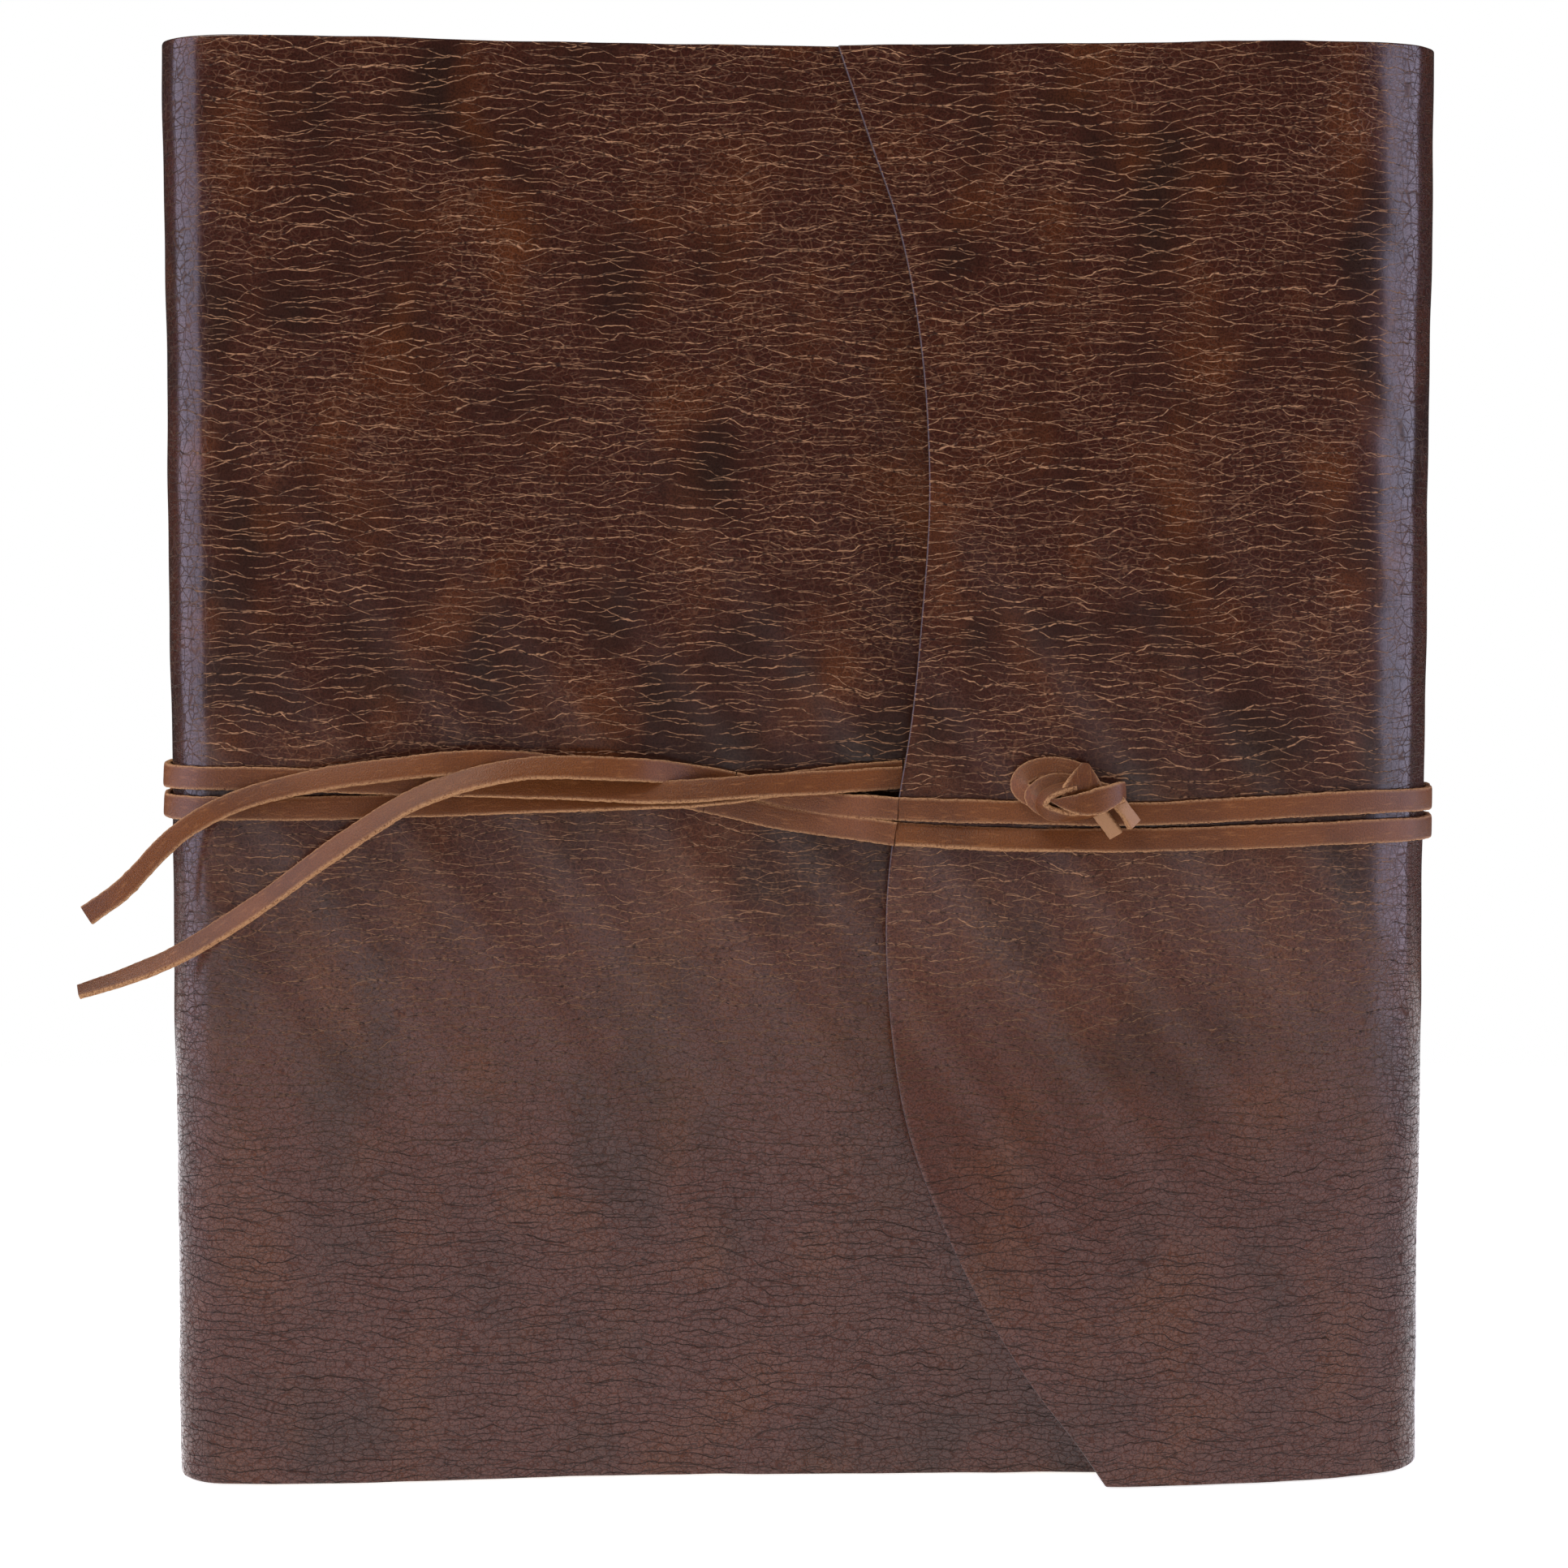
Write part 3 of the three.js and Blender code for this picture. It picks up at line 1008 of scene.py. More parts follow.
@dataclass
class Wrap:
    """The leather sheet in three meshes, parted at the outermost lines of spine and fore edge.

    The meshes lap by the width of their rounded rims, so no groove shows where they part. The
    laps are given in stations of the plan. flap_edge is the flap's free edge as (x, z), and
    hole the lace hole as (x from, x to, z from, z to).
    """

    finishes: Finishes
    rows: int = 216
    columns_front: int = 176
    columns_back: int = 190
    columns_flap: int = 120
    left_lap: float = 0.045
    right_lap: float = 0.07
    sway: float = 0.25
    rim_wave: float = 0.22
    rim_width: float = 0.4
    flap_edge: ClassVar[Tuple[PlanPoint, ...]] = (
        (8.6, 340), (16, 318), (22.2, 300), (26.6, 280), (29.2, 258), (30, 232), (28.5, 208),
        (26, 182), (22, 157), (20.2, 137), (21, 114), (25, 87), (32.7, 65), (43, 43.5),
        (55, 24), (66, 9.5), (72.5, 0))
    hole: Tuple[float, float, float, float] = (61.9, 67.6, 164.4, 171.6)

    def sheet(self, name: str, stations: Array, holed: bool = False) -> bpy.types.Object:
        """Make a sheet from a grid of stations; thickness and rounded rims come from modifiers.

        A point lies on the plan line at its station, at its row's share of the height, moved
        along the outward normal by the flap's rise and a slight sway.

        Args:
            name: Object name.
            stations: Station of each grid point, rows by columns.
            holed: Leave the faces over the lace hole out.

        Returns:
            The sheet.
        """
        rows, columns = stations.shape
        share = np.repeat(np.linspace(0, 1, rows), columns)
        station = stations.ravel()
        plan, normal = PLAN.line(station)
        x, depth = plan[:, 0], plan[:, 1]
        z = share * leather_height(x)
        rise = np.where(station > PLAN.at_flap - 0.5, flap_rise(x, z), 0.0)
        rise += self.sway * wander(x + 0.7 * z, 1.3, 71.0) * smooth(station, 0.2, 0.8)
        x = x + normal[:, 0] * rise
        depth = depth + normal[:, 1] * rise
        z = z + self.rim_wave * wander(x, 4.0, 90.0) * smooth(np.abs(share - 0.5), 0.35, 0.5)
        faces = grid_quads(rows, columns)
        if holed:
            faces = faces[self.outside_hole(faces, x, z)]
        obj = make_object(name, to_frame(x, depth, np.maximum(z, 0.0)), faces,
                          [self.finishes.wrap, self.finishes.flesh, self.finishes.cut])
        self.thicken(obj)
        return obj

    def outside_hole(self, faces: Array, x: Array, z: Array) -> Array:
        """Tell which faces have their middle outside the lace hole.

        Args:
            faces: Vertex indices of each face.
            x: Position of each vertex from left to right, in mm.
            z: Height of each vertex, in mm.

        Returns:
            One truth value for each face.
        """
        cx, cz = x[faces].mean(axis=1), z[faces].mean(axis=1)
        x0, x1, z0, z1 = self.hole
        return ~((cx > x0) & (cx < x1) & (cz > z0) & (cz < z1))

    def thicken(self, obj: bpy.types.Object) -> None:
        """Give a sheet its thickness inwards and round its rims.

        Args:
            obj: The sheet, whose faces look outwards.
        """
        solid = obj.modifiers.new("thickness", "SOLIDIFY")
        solid.thickness = LEATHER * MM
        solid.offset = -1.0
        solid.use_rim = True
        solid.material_offset = 1
        solid.material_offset_rim = 2
        rim = obj.modifiers.new("rim", "BEVEL")
        rim.width = self.rim_width * MM
        rim.segments = 2
        rim.limit_method = "ANGLE"
        rim.angle_limit = math.radians(50)

    def even_grid(self, start: float, stop: float, columns: int) -> Array:
        """Grid of stations with straight upright columns."""
        row = PLAN.even_stations(start, stop, columns)
        return np.repeat(row[None, :], self.rows, axis=0)

    def flap_grid(self) -> Array:
        """Lay a grid of stations over the flap, whose last column follows its free edge.

        Each row is shared out evenly between the fore edge's outermost line and the place
        where the row's height meets the S-curve of the free edge.

        Returns:
            Stations, rows by columns.
        """
        share = np.linspace(0, 1, self.rows)
        fine = np.linspace(PLAN.at_right - self.right_lap, PLAN.at_end, 900)
        place, _ = spline(PLAN.points, fine)
        run = run_length(place)
        edge, _ = spline(self.flap_edge, np.linspace(0, len(self.flap_edge) - 1, 400))
        edge_x = np.interp(share * HEIGHT, edge[::-1, 1], edge[::-1, 0])
        on_flap = fine > PLAN.at_flap
        last_run = np.interp(-edge_x, -place[on_flap, 0], run[on_flap])
        across = np.linspace(0, 1, self.columns_flap)
        return np.interp(across[None, :] * last_run[:, None], run, fine)

    def build(self) -> None:
        """Build the three sheets."""
        left, right = PLAN.at_left, PLAN.at_right
        front = self.sheet("leather_front", self.even_grid(
            0, left + self.left_lap, self.columns_front))
        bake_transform(front)
        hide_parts("cover_front", "cover_spine")
        back = self.sheet("leather_back", self.even_grid(
            left - self.left_lap, right + self.right_lap, self.columns_back))
        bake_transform(back)
        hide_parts("cover_back")
        flap = self.sheet("leather_flap", self.flap_grid(), holed=True)
        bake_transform(flap)
        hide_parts("cover_fore_edge", "cover_flap")
        for obj in (front, back, flap):
            LOG.info("leather sheet %s: %d faces", obj.name, len(obj.data.polygons))


# ---------------------------------------------------------------- laces


@dataclass
class LaceRoute:
    """Control points of one lace as (x, depth, z), in the order in which it runs.

    z_spine and z_fore are its heights round the spine and the fore edge, and over_flap its
    height over the flap as (x, z). The leans are the upward parts of its face direction,
    and tail_width the factors on its width, each spread evenly along the stretch.
    """

    name: str
    under_flap: Sequence[Point]
    front: Sequence[Point]
    z_spine: float
    z_fore: float
    over_flap: Sequence[PlanPoint]
    over_lean: Sequence[float]
    tuck: Sequence[Point]
    tail: Sequence[Point]
    tail_width: Sequence[float]
    tail_lean: Sequence[float]
    width: float
    seed: float


UPPER = LaceRoute(
    name="lace_upper",
    under_flap=((63.5, 0.4, 168), (63.4, 2.4, 168), (62.6, 4.8, 168), (59.4, 5.7, 168),
                (40, 6.0, 168.2), (24.4, 6.1, 168.2)),
    front=((24.1, 6.1, 168.2), (12.2, 5.2, 167.5), (2.6, 4.1, 167.0), (-6.9, 3.3, 166.6),
           (-16.4, 2.6, 166.0), (-25.9, 2.1, 165.3), (-35.4, 1.6, 165.1), (-44.9, 1.2, 165.5),
           (-54.4, 0.8, 166.1), (-73.3, -0.1, 166.7), (-96.0, -0.7, 167.4), (-113, -1.0, 168.0)),
    z_spine=168.5,
    z_fore=162.6,
    over_flap=((152, 162.2), (136, 162.6), (117, 161.9), (98, 160.8), (79, 159.8), (50, 160.4),
               (29, 160.8), (22, 161.3)),
    over_lean=(0.0, 0.0, 0.05, 0.1, 0.05, 0.0),
    tuck=((17.9, 3.1, 161.4), (12.2, 4.8, 161.6), (4.6, 6.6, 162.2), (-1.2, 7.6, 163.1),
          (-7.9, 7.9, 164.8), (-15.5, 7.7, 166.6)),
    tail=((-15.7, 7.6, 166.7), (-20.3, 7.3, 167.6), (-26, 6.2, 168.6), (-31.7, 3.2, 169.7),
          (-37.3, 0.2, 170.4), (-43.8, -1.4, 170.8), (-54.2, -2.2, 171.2), (-63.6, -3.0, 171.0),
          (-71.8, -3.9, 169.7), (-80.5, -4.3, 167.5), (-91.6, -4.7, 163.0), (-110.7, -5.4, 150.7),
          (-125.1, -5.2, 140.2), (-145.1, -5.2, 127.7), (-158.3, -5.6, 122.2), (-168.3, -6.2, 119)),
    tail_width=(1.0, 1.0, 1.0, 1.0, 1.0, 0.98, 0.95, 0.92, 0.92, 0.86, 0.66),
    tail_lean=(0.0, 0.1, 0.25, 0.45, 0.7, 0.75, 0.75, 0.8, 0.8, 0.9, 1.2),
    width=5.5,
    seed=0.4,
)

LOWER = LaceRoute(
    name="lace_lower",
    under_flap=((66.1, 0.4, 168), (66.1, 4.6, 168), (65, 7, 168), (61.5, 8, 168), (40, 8.3, 169),
                (24.5, 8.2, 169.5)),
    front=((24.2, 8.2, 169.5), (12.3, 7.2, 168.5), (2.7, 6.1, 167.5), (-6.9, 5.3, 166.2),
           (-16.4, 4.7, 164.9), (-26, 4.2, 164.0), (-35.5, 3.7, 163.6), (-54.6, 2.9, 163.1),
           (-73.5, 2.0, 162.5), (-96.2, 0.7, 161.9), (-113, -0.5, 161.5)),
    z_spine=161.4,
    z_fore=155.6,
    over_flap=((152, 155.4), (136, 155.6), (117, 155.0), (98, 154.3), (79, 153.8), (50, 153.8),
               (29, 154.8), (21.7, 155.5)),
    over_lean=(0.0, 0.0, 0.0, 0.0, 0.05, 0.1, 0.2, 0.4, 0.5, 0.35),
    tuck=((17, 3.1, 156.0), (11.3, 4.9, 156.5), (3.6, 6.9, 157.4), (-5, 7.7, 158.7),
          (-13.6, 7.8, 160.6), (-22.3, 7.6, 162.5)),
    tail=((-22.5, 7.6, 162.6), (-29.9, 7.3, 164.2), (-37.6, 6.9, 166.1), (-45.2, 6.3, 168.0),
          (-52.8, 5.2, 169.8), (-58.4, 4.0, 170.9), (-64, 2.0, 171.8), (-69.5, 0.0, 172.2),
          (-75.1, -1.4, 172.4), (-82, -2.4, 172.1), (-97.6, -3.1, 170.4), (-111.6, -3.4, 168.4),
          (-131.5, -4.6, 163.3), (-144.5, -6.2, 156.1), (-157.8, -7.0, 142.9), (-166, -6.6, 137)),
    tail_width=(1.0, 1.0, 1.0, 1.0, 1.0, 1.0, 0.96, 0.9, 0.84, 0.84, 0.86),
    tail_lean=(0.0, 0.0, 0.1, 0.2, 0.25, 0.35, 0.4, 0.35, 0.3, 0.2, 0.2),
    width=5.6,
    seed=2.1,
)


@dataclass
class Lace:
    """One lace, from the knot round the book to its hanging end.

    run_starts holds the length already run where each stretch begins, in mm, so that the
    grain goes on from one stretch to the next.
    """

    route: LaceRoute
    finishes: Finishes
    gap: float = 0.25
    station_length: float = 14.0
    across_lean: Tuple[float, ...] = (0.1, 0.3, 0.45, 0.3, 0.1, 0.1, 0.1, 0.0)
    run_starts: Tuple[float, ...] = (0.0, 45.0, 230.0, 560.0, 710.0, 740.0)

    @property
    def strap(self) -> Strap:
        """Cross-section of this lace."""
        return Strap(width=self.route.width)

    def outward(self, path: Array) -> Array:
        """Find the face direction of a stretch that runs leftwards over the front.

        It is the tangent's plan part turned by a quarter, (-ty, tx).

        Args:
            path: Points x, depth, z.

        Returns:
            Level unit vectors, one for each point.
        """
        step = np.gradient(path, axis=0)
        flat = np.stack([-step[:, 1], step[:, 0], np.zeros(len(path))], axis=1)
        return flat / np.maximum(np.linalg.norm(flat, axis=1, keepdims=True), 1e-9)

    def round_wrap(self, start: float, stop: float, z0: float, z1: float,
                   step: float = 0.9) -> Tuple[Array, Array]:
        """Follow the wrap between two stations.

        Args:
            start: First station.
            stop: Last station.
            z0: Height at the start.
            z1: Height at the end, reached in a smooth step.
            step: Distance wanted between points, in mm.

        Returns:
            Path and face directions.
        """
        count = max(24, int(abs(stop - start) * self.station_length / step))
        stations = PLAN.even_stations(start, stop, count)
        plan, normal = PLAN.line(stations, self.gap + self.strap.thickness / 2)
        z = z0 + (z1 - z0) * smooth(np.linspace(0, 1, count), 0, 1)
        return np.column_stack([plan, z]), np.column_stack([normal, np.zeros(count)])

    def over_flap_path(self) -> Tuple[Array, Array]:
        """Follow the wrap from the fore edge over the flap to its free edge.

        The heights are a table over x, evened out by a moving mean of 31 points.

        Returns:
            Path and face directions.
        """
        stations = PLAN.even_stations(PLAN.at_right, PLAN.at_end - 0.2, 230)
        plan, normal = PLAN.line(stations)
        heights = np.array(self.route.over_flap)
        z = np.interp(-plan[:, 0], -heights[:, 0], heights[:, 1])
        z = np.convolve(np.pad(z, 15, mode="edge"), np.ones(31) / 31, mode="valid")
        rise = np.where(stations > PLAN.at_flap - 0.5, flap_rise(plan[:, 0], z), 0.0)
        lift = rise + self.gap + self.strap.thickness / 2
        plan = plan + normal * lift[:, None]
        edge = np.array(Wrap.flap_edge)
        keep = plan[:, 0] > np.interp(z.mean(), edge[::-1, 1], edge[::-1, 0]) + 0.2
        face = np.column_stack([normal, np.zeros(len(normal))])
        return np.column_stack([plan, z])[keep], face[keep]

    def dress(self, obj: bpy.types.Object, *nodes: str) -> bpy.types.Object:
        """Hide the CAD nodes that a stretch stands for.

        Args:
            obj: The stretch.
            nodes: Names of the CAD nodes.

        Returns:
            The same object.
        """
        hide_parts(*nodes)
        return obj

    def build(self) -> None:
        """Build every stretch, parted where the album's bodies part."""
        name, route, strap = self.route.name, self.route, self.strap
        lace, runs = self.finishes.lace, self.run_starts

        hidden = even_path(route.under_flap, 1.2)
        piece = strap.build(f"{name}_inside", hidden, self.outward(hidden), lace, runs[0],
                            route.seed)
        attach(self.dress(piece, f"{name}_under_flap"), Body.FLAP.value)

        shoulder, shoulder_face = self.round_wrap(
            PLAN.at_spine + 0.05, PLAN.at_left, route.z_spine, route.z_spine)
        front = even_path(list(route.front) + [tuple(shoulder[0])], 0.8)
        path = np.vstack([front[:-1], shoulder])
        face = np.vstack([self.outward(front)[:-1], shoulder_face])
        piece = strap.build(f"{name}_across", path, face, lace, runs[1], route.seed,
                            lean=self.across_lean)
        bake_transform(self.dress(piece, f"{name}_front"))

        path, face = self.round_wrap(PLAN.at_left, PLAN.at_right, route.z_spine, route.z_fore)
        piece = strap.build(f"{name}_behind", path, face, lace, runs[2], route.seed)
        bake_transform(self.dress(piece, f"{name}_spine", f"{name}_back"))

        over, face = self.over_flap_path()
        piece = strap.build(f"{name}_over", over, face, lace, runs[3], route.seed,
                            lean=route.over_lean)
        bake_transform(self.dress(piece, f"{name}_fore_edge", f"{name}_over_flap"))

        start = over[-1] + 0.06 * (over[-1] - over[-2])
        tuck = even_path([tuple(start)] + list(route.tuck), 0.8)
        piece = strap.build(f"{name}_tucked", tuck, self.outward(tuck), lace, runs[4], route.seed)
        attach(self.dress(piece, f"{name}_tuck"), Body.FRONT.value)

        tail = even_path(route.tail, 0.8)
        piece = strap.build(f"{name}_free", tail, self.outward(tail), lace, runs[5], route.seed + 1,
                            route.tail_width, route.tail_lean)
        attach(self.dress(piece, f"{name}_tail"), Body.FRONT.value)
        to_frame(*tail[0]).tolist()
        0.9 * route.width * MM
        to_frame(*tail[::6].T).tolist()


@dataclass(frozen=True)
class Turn:
    """One visible turn of the knot: its path, its face directions and how its width changes.

    The faces and the factors on the width are spread evenly along the path.
    """

    name: str
    node: str
    path: Sequence[Point]
    face: Sequence[Point]
    width: float
    scale: Sequence[float] = (1.0, 1.0)
    thickness: float = 1.6


TO_FRONT = (0.0, -1.0, 0.0)
TURNS = (
    Turn("knot_core", "lace_knot",
         ((56.7, -0.9, 165.9), (61.4, -1.0, 166.1), (67.1, -1.2, 165.7), (73.1, -1.4, 164.6)),
         (TO_FRONT, TO_FRONT), 5.4, (0.6, 1.0, 1.0, 0.8)),
    Turn("knot_outer_loop", "lace_knot",
         ((66.0, -0.6, 170.0), (63.0, -0.2, 170.8), (59.2, 0.1, 171.1), (55.2, 0.2, 170.6),
          (52.2, 0.0, 168.9), (51.4, -0.6, 166.8), (53.0, -1.2, 164.8), (56.4, -1.6, 163.5),
          (60.6, -1.8, 163.1)),
         ((0.2, -1, 0.3), (0, -1, 0.35), (-0.4, -1, 0.2), (-0.5, -1, 0), (-0.2, -1, -0.3)), 4.6,
         (0.8, 1.0, 1.05, 1.05, 1.0, 0.9)),
    Turn("knot_inner_loop", "lace_knot",
         ((66.2, -2.2, 166.2), (63.6, -2.2, 167.3), (60.0, -2.2, 167.7), (56.4, -2.4, 166.6),
          (54.4, -2.8, 164.5), (55.9, -3.2, 162.5), (59.3, -3.4, 161.3), (63.9, -3.4, 161.3)),
         ((0.2, -1, 0.4), (0, -1, 0.45), (-0.5, -1, 0.1), (-0.5, -1, -0.3), (0, -1, -0.4)), 4.4,
         (0.9, 1.0, 1.0, 1.0, 0.9)),
    Turn("knot_roll", "lace_knot",
         ((64.1, -4.6, 167.1), (60.0, -4.8, 166.2), (56.9, -5.0, 164.5), (56.0, -5.0, 162.6),
          (57.7, -5.0, 160.9), (61.5, -5.2, 160.2), (66.4, -5.4, 160.6), (70.9, -5.0, 162.0),
          (75.2, -3.8, 163.6)),
         ((0.1, -0.5, 1), (-0.6, -0.5, 0.7), (-1, -0.4, 0), (-0.5, -0.4, -1), (0, -0.4, -1),
          (0.4, -0.4, -1)), 4.0, (0.7, 1.0, 1.0, 0.9, 0.6)),
    Turn("knot_fold", "lace_knot",
         ((65.8, -3.8, 163.6), (65.8, -4.8, 166.6), (66.0, -4.4, 169.4), (66.2, -3.0, 172.0)),
         ((0.1, -1, 0.15), (0.15, -1, 0.3), (0.1, -1, 0.6)), 10.4, (1.0, 0.98, 0.6, 0.16)),
    Turn("knot_band", "lace_knot",
         ((57.9, -5.8, 163.8), (61.3, -6.6, 163.2), (64.7, -7.2, 163.0), (68.1, -7.2, 163.4),
          (71.5, -6.4, 164.6), (73.8, -5.0, 165.5), (75.2, -2.8, 165.9)),
         ((-0.3, -1, 0.1), (0, -1, 0.2), (0.05, -1, 0.1), (0.4, -1, 0), (1, -0.6, 0)), 5.8,
         (0.06, 0.55, 0.95, 1.1, 0.9, 0.72)),
    Turn("knot_end_first", "lace_upper_end",
         ((68.0, -3.4, 162.9), (69.9, -3.4, 160.4), (71.9, -3.0, 157.9), (73.7, -2.4, 155.5)),
         ((0.5, 1, 0.2), (0.4, 1, 0.1)), 3.7, (0.9, 0.95, 1.0), 2.0),
    Turn("knot_end_second", "lace_lower_end",
         ((73.2, -4.2, 164.1), (74.8, -4.2, 162.2), (76.4, -3.6, 160.0), (77.8, -3.0, 157.9)),
         ((-0.2, 1, -0.2), (-0.6, 1, -0.2)), 3.6, (1.0, 0.85, 1.05), 2.0),
)


@dataclass
class Knot:
    """The knot of both laces on the flap, made of short turns laid over each other."""

    finishes: Finishes
    turns: Sequence[Turn] = TURNS
    run_step: float = 30.0
    seed_step: float = 0.7

    def build(self) -> None:
        """Build every turn and the two cut ends."""
        for k, turn in enumerate(self.turns):
            path = even_path(turn.path, 0.45)
            marks = np.linspace(0, 1, len(turn.face))
            share = np.linspace(0, 1, len(path))
            columns = np.array(turn.face, float).T
            face = np.stack([np.interp(share, marks, column) for column in columns], axis=1)
            strap = Strap(width=turn.width, thickness=turn.thickness)
            obj = strap.build(turn.name, path, face, self.finishes.lace, self.run_step * k,
                              self.seed_step * k, turn.scale)
            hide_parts(turn.node)
            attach(obj, Body.FLAP.value)
            LOG.info("knot piece %s", turn.name)


# ---------------------------------------------------------------- paper block and binding


@dataclass
class Block:
    """Sewn paper block: folded sections that are thicker at the fold.

    Each section closes to a rounded tip over the length fold: its half thickness there is
    sqrt(1 - (1 - t)^2) of the full one, with t going from 0 at the tip to 1.
    """

    finishes: Finishes
    sections: int = 10
    offset: float = -4.9
    fore_x: float = 107.0
    spine_x: float = -132.0
    bottom: float = 4.0
    top: float = 336.0
    steps: int = 24
    fold: float = 2.2
    fold_steps: int = 5
    tip_gap: float = 0.3
    leaf_gap: float = 0.12

    def build(self) -> None:
        """Build every section as a closed prism with leaves marked across it."""
        front, _ = PLAN.line(np.linspace(0, PLAN.at_left, 300), self.offset)
        back, _ = PLAN.line(np.linspace(PLAN.at_left, PLAN.at_fore, 300), self.offset)
        spine, _ = PLAN.line(np.linspace(PLAN.at_spine, PLAN.at_back, 300), self.offset)

        def depth_at(x: Array, share: float) -> Array:
            """Look up the depth part of the way from the block's front face to its back one.

            Args:
                x: Positions from left to right, in mm.
                share: 0 on the front face, 1 on the back one.

            Returns:
                The depths.
            """
            near = np.interp(x, front[::-1, 0], front[::-1, 1])
            far = np.interp(x, back[:, 0], back[:, 1])
            return near + (far - near) * share

        low, high = (float(depth_at(self.spine_x, share)) for share in (0.0, 1.0))
        for k in range(self.sections):
            middle = (k + 0.5) / self.sections
            tip = np.interp(low + (high - low) * middle, spine[:, 1], spine[:, 0]) + self.tip_gap
            x = np.concatenate([tip + np.linspace(0, self.fold, self.fold_steps + 1)[:-1],
                                np.linspace(tip + self.fold, self.fore_x, self.steps)])
            t = np.clip((x - tip) / self.fold, 0, 1)
            close = np.sqrt(np.clip(1 - (1 - t) ** 2, 0.0025, 1))
            centre = depth_at(np.maximum(x, tip + 0.2), middle)
            whole = depth_at(x, (k + 1) / self.sections) - depth_at(x, k / self.sections)
            half = whole / 2 - self.leaf_gap
            near = np.stack([x, centre - half * close], axis=1)
            far = np.stack([x, centre + half * close], axis=1)
            share = np.stack([0.5 - 0.5 * close, 0.5 + 0.5 * close])
            obj = prism(f"pages_{k + 1:02d}", np.stack([near, far]), self.bottom, self.top,
                        [self.finishes.leaf], share)
            face_outwards(obj)
            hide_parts(f"section_{k + 1:02d}")
            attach(obj, Body.BASE.value)
        LOG.info("paper block of %d sections", self.sections)


@dataclass(frozen=True)
class Layer:
    """One layer that follows the wrap: its offsets from the leather and its heights, in mm."""

    outer: float
    inner: float
    low: float
    high: float


@dataclass
class Binding:
    """Endpapers, spine cloth, sewing tapes and kettle stitches."""

    finishes: Finishes
    paper: Layer = Layer(-1.9, -2.7, 4, 336)
    cloth: Layer = Layer(-3.0, -3.6, 20, 320)
    tape_levels: Tuple[float, ...] = (60, 170, 280)
    stitch_levels: Tuple[float, ...] = (11, 329)

    def layer(self, name: str, node: str, start: float, stop: float, layer: Layer,
              material: bpy.types.Material, slot: Slot, body: Body) -> None:
        """Make one layer as an upright closed strip.

        Args:
            name: Object name.
            node: CAD node that it stands for.
            start: First station.
            stop: Last station.
            layer: Offsets and heights.
            material: Its material.
            slot: Its record slot; not used.
            body: The body that it rides on.
        """
        stations = PLAN.even_stations(start, stop, 90)
        lines = np.stack([PLAN.line(stations, side)[0] for side in (layer.outer, layer.inner)])
        obj = face_outwards(prism(name, lines, layer.low, layer.high, [material]))
        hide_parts(node)
        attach(obj, body.value)

    def build(self) -> None:
        """Build every layer."""
        f = self.finishes
        self.layer("endpaper_front_leaf", "endpaper_front", 0.1, PLAN.at_spine - 0.03,
                   self.paper, f.endpaper, Slot.ENDPAPER, Body.FRONT)
        self.layer("endpaper_back_leaf", "endpaper_back", PLAN.at_back, PLAN.at_fore - 0.16,
                   self.paper, f.endpaper, Slot.ENDPAPER, Body.BASE)
        self.layer("spine_cloth", "spine_mull", PLAN.at_spine - 1, PLAN.at_back + 1, self.cloth,
                   f.mull, Slot.MULL, Body.BASE)
        for k, level in enumerate(self.tape_levels, start=1):
            self.layer(f"tape_{k}", f"sewing_tape_{k}", PLAN.at_spine - 1, PLAN.at_back + 1,
                       Layer(-3.9, -4.5, level - 8, level + 8), f.tape, Slot.TAPE, Body.BASE)
        for k, level in enumerate(self.stitch_levels, start=1):
            self.layer(f"stitch_{k}", f"kettle_stitch_{k}", PLAN.at_spine, PLAN.at_back,
                       Layer(-3.9, -4.6, level - 0.8, level + 0.8),
                       f.thread, Slot.THREAD, Body.BASE)
        LOG.info("binding built")


# ---------------------------------------------------------------- studio


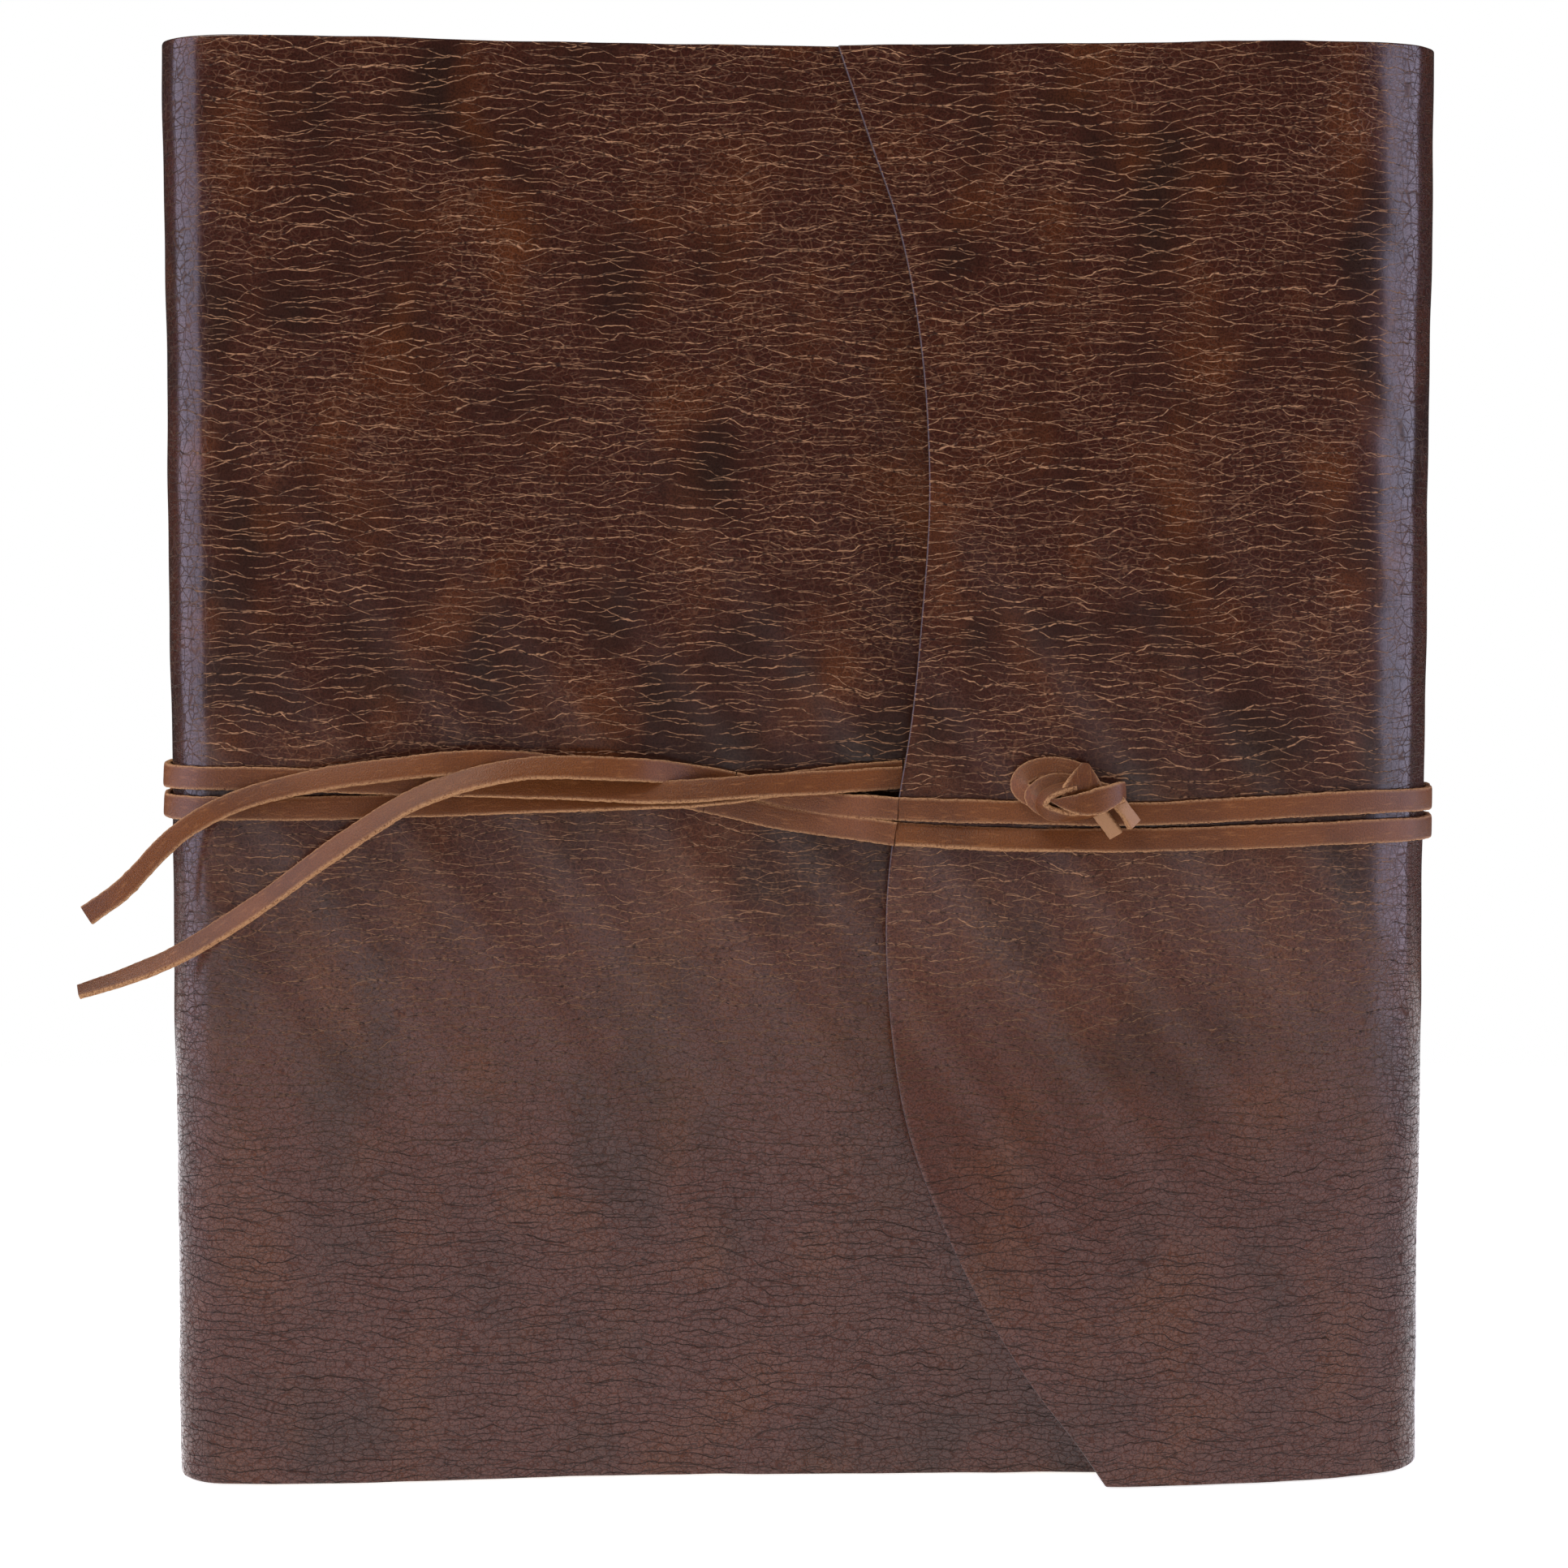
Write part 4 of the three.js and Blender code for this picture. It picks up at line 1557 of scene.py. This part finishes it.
@dataclass
class Studio:
    """Camera, floor and soft lights."""

    camera_x: float = -3.84
    camera_depth: float = -781.2
    camera_z: float = 226.3
    pitch_deg: float = 4.33
    lens: float = 76.88
    sensor: float = 36.0
    floor_glow: float = 0.8
    floor_x: Tuple[float, float] = (-1.3, 1.3)
    floor_y: Tuple[float, float] = (-1.5, 0.6)
    floor_z: float = -0.0004
    room: float = 0.035
    aim: Point = (0.0, 0.0, 0.17)
    cool: Colour = (0.74, 0.73, 1.0)
    warm: Colour = (1.0, 0.955, 0.88)

    def camera(self) -> None:
        """Place the camera, level from side to side and pitched slightly down."""
        data = bpy.data.cameras.new("camera")
        data.lens = self.lens
        data.sensor_width = self.sensor
        data.clip_end = 50.0
        obj = bpy.data.objects.new("camera", data)
        obj.location = to_frame(self.camera_x, self.camera_depth, self.camera_z).tolist()
        obj.rotation_euler = (math.radians(90 - self.pitch_deg), 0.0, 0.0)
        bpy.context.scene.collection.objects.link(obj)
        bpy.context.scene.camera = obj

    def floor(self) -> None:
        """Lay a pale floor sheet under and in front of the book; it glows like a lit sweep."""
        g = Graph("pale_floor")
        glow = {"Emission Color": (1.0, 0.985, 0.97, 1.0), "Emission Strength": self.floor_glow}
        material = g.finish((0.9, 0.9, 0.9), 0.95, others=glow)
        x, y = np.meshgrid(np.linspace(*self.floor_x, 27), np.linspace(*self.floor_y, 22))
        points = np.stack([x.ravel(), y.ravel(), np.full(x.size, self.floor_z)], axis=1)
        obj = make_object("floor", points, grid_quads(22, 27)[:, ::-1], [material])

    def light(self, name: str, place: Point, size: Tuple[float, float], power: float,
              colour: Colour) -> None:
        """Add one rectangular soft light that faces the middle of the book.

        Args:
            name: Light name.
            place: Position in metres.
            size: Width and height in metres.
            power: Power in watts.
            colour: Tint.
        """
        data = bpy.data.lights.new(name, "AREA")
        data.shape = "RECTANGLE"
        data.size, data.size_y = size
        data.energy = power
        data.color = colour
        obj = bpy.data.objects.new(name, data)
        away = np.asarray(place, float) - np.asarray(self.aim, float)
        away /= np.linalg.norm(away)
        right = np.cross((0, 0, 1), away)
        right /= max(np.linalg.norm(right), FINE)
        up = np.cross(away, right)
        rows = np.eye(4)
        rows[:3, 0], rows[:3, 1], rows[:3, 2], rows[:3, 3] = right, up, away, place
        obj.matrix_world = Matrix(rows.tolist())
        bpy.context.scene.collection.objects.link(obj)

    def world(self) -> None:
        """Give the room a white look and a soft, dimmer light of its own.

        A background of strength 1 is what the camera sees; all other rays meet the dim one.
        """
        world = bpy.data.worlds.new("room")
        bpy.context.scene.world = world
        world.use_nodes = True
        tree = world.node_tree
        tree.nodes.clear()
        seen = tree.nodes.new("ShaderNodeBackground")
        seen.inputs[0].default_value = (1, 1, 1, 1)
        seen.inputs[1].default_value = 1.0
        cast = tree.nodes.new("ShaderNodeBackground")
        cast.inputs[0].default_value = (0.93, 0.95, 1.0, 1)
        cast.inputs[1].default_value = self.room
        path = tree.nodes.new("ShaderNodeLightPath")
        mix = tree.nodes.new("ShaderNodeMixShader")
        out = tree.nodes.new("ShaderNodeOutputWorld")
        tree.links.new(path.outputs["Is Camera Ray"], mix.inputs[0])
        tree.links.new(cast.outputs[0], mix.inputs[1])
        tree.links.new(seen.outputs[0], mix.inputs[2])
        tree.links.new(mix.outputs[0], out.inputs[0])

    def build(self) -> None:
        """Set the studio up."""
        self.floor()
        self.world()
        self.light("key_soft", (-0.8, -0.75, 1.9), (1.0, 0.7), 30, self.warm)
        self.light("left_strip", (-1.15, -0.34, 0.3), (1.1, 1.5), 20, self.cool)
        self.light("right_strip", (1.17, -0.26, 0.3), (0.8, 1.5), 18, self.cool)
        view = bpy.context.scene.view_settings
        view.view_transform = "Standard"
        view.look = "None"
        LOG.info("studio set")


def main() -> None:
    """Build the album on its frame."""
    logging.basicConfig(level=logging.INFO, format="%(message)s")
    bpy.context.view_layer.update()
    studio = Studio()
    studio.camera()
    finishes = Finishes()
    for route in (UPPER, LOWER):
        Lace(route, finishes).build()
    Knot(finishes).build()
    Wrap(finishes).build()
    Block(finishes).build()
    Binding(finishes).build()
    studio.build()


if __name__ == "__main__":
    main()
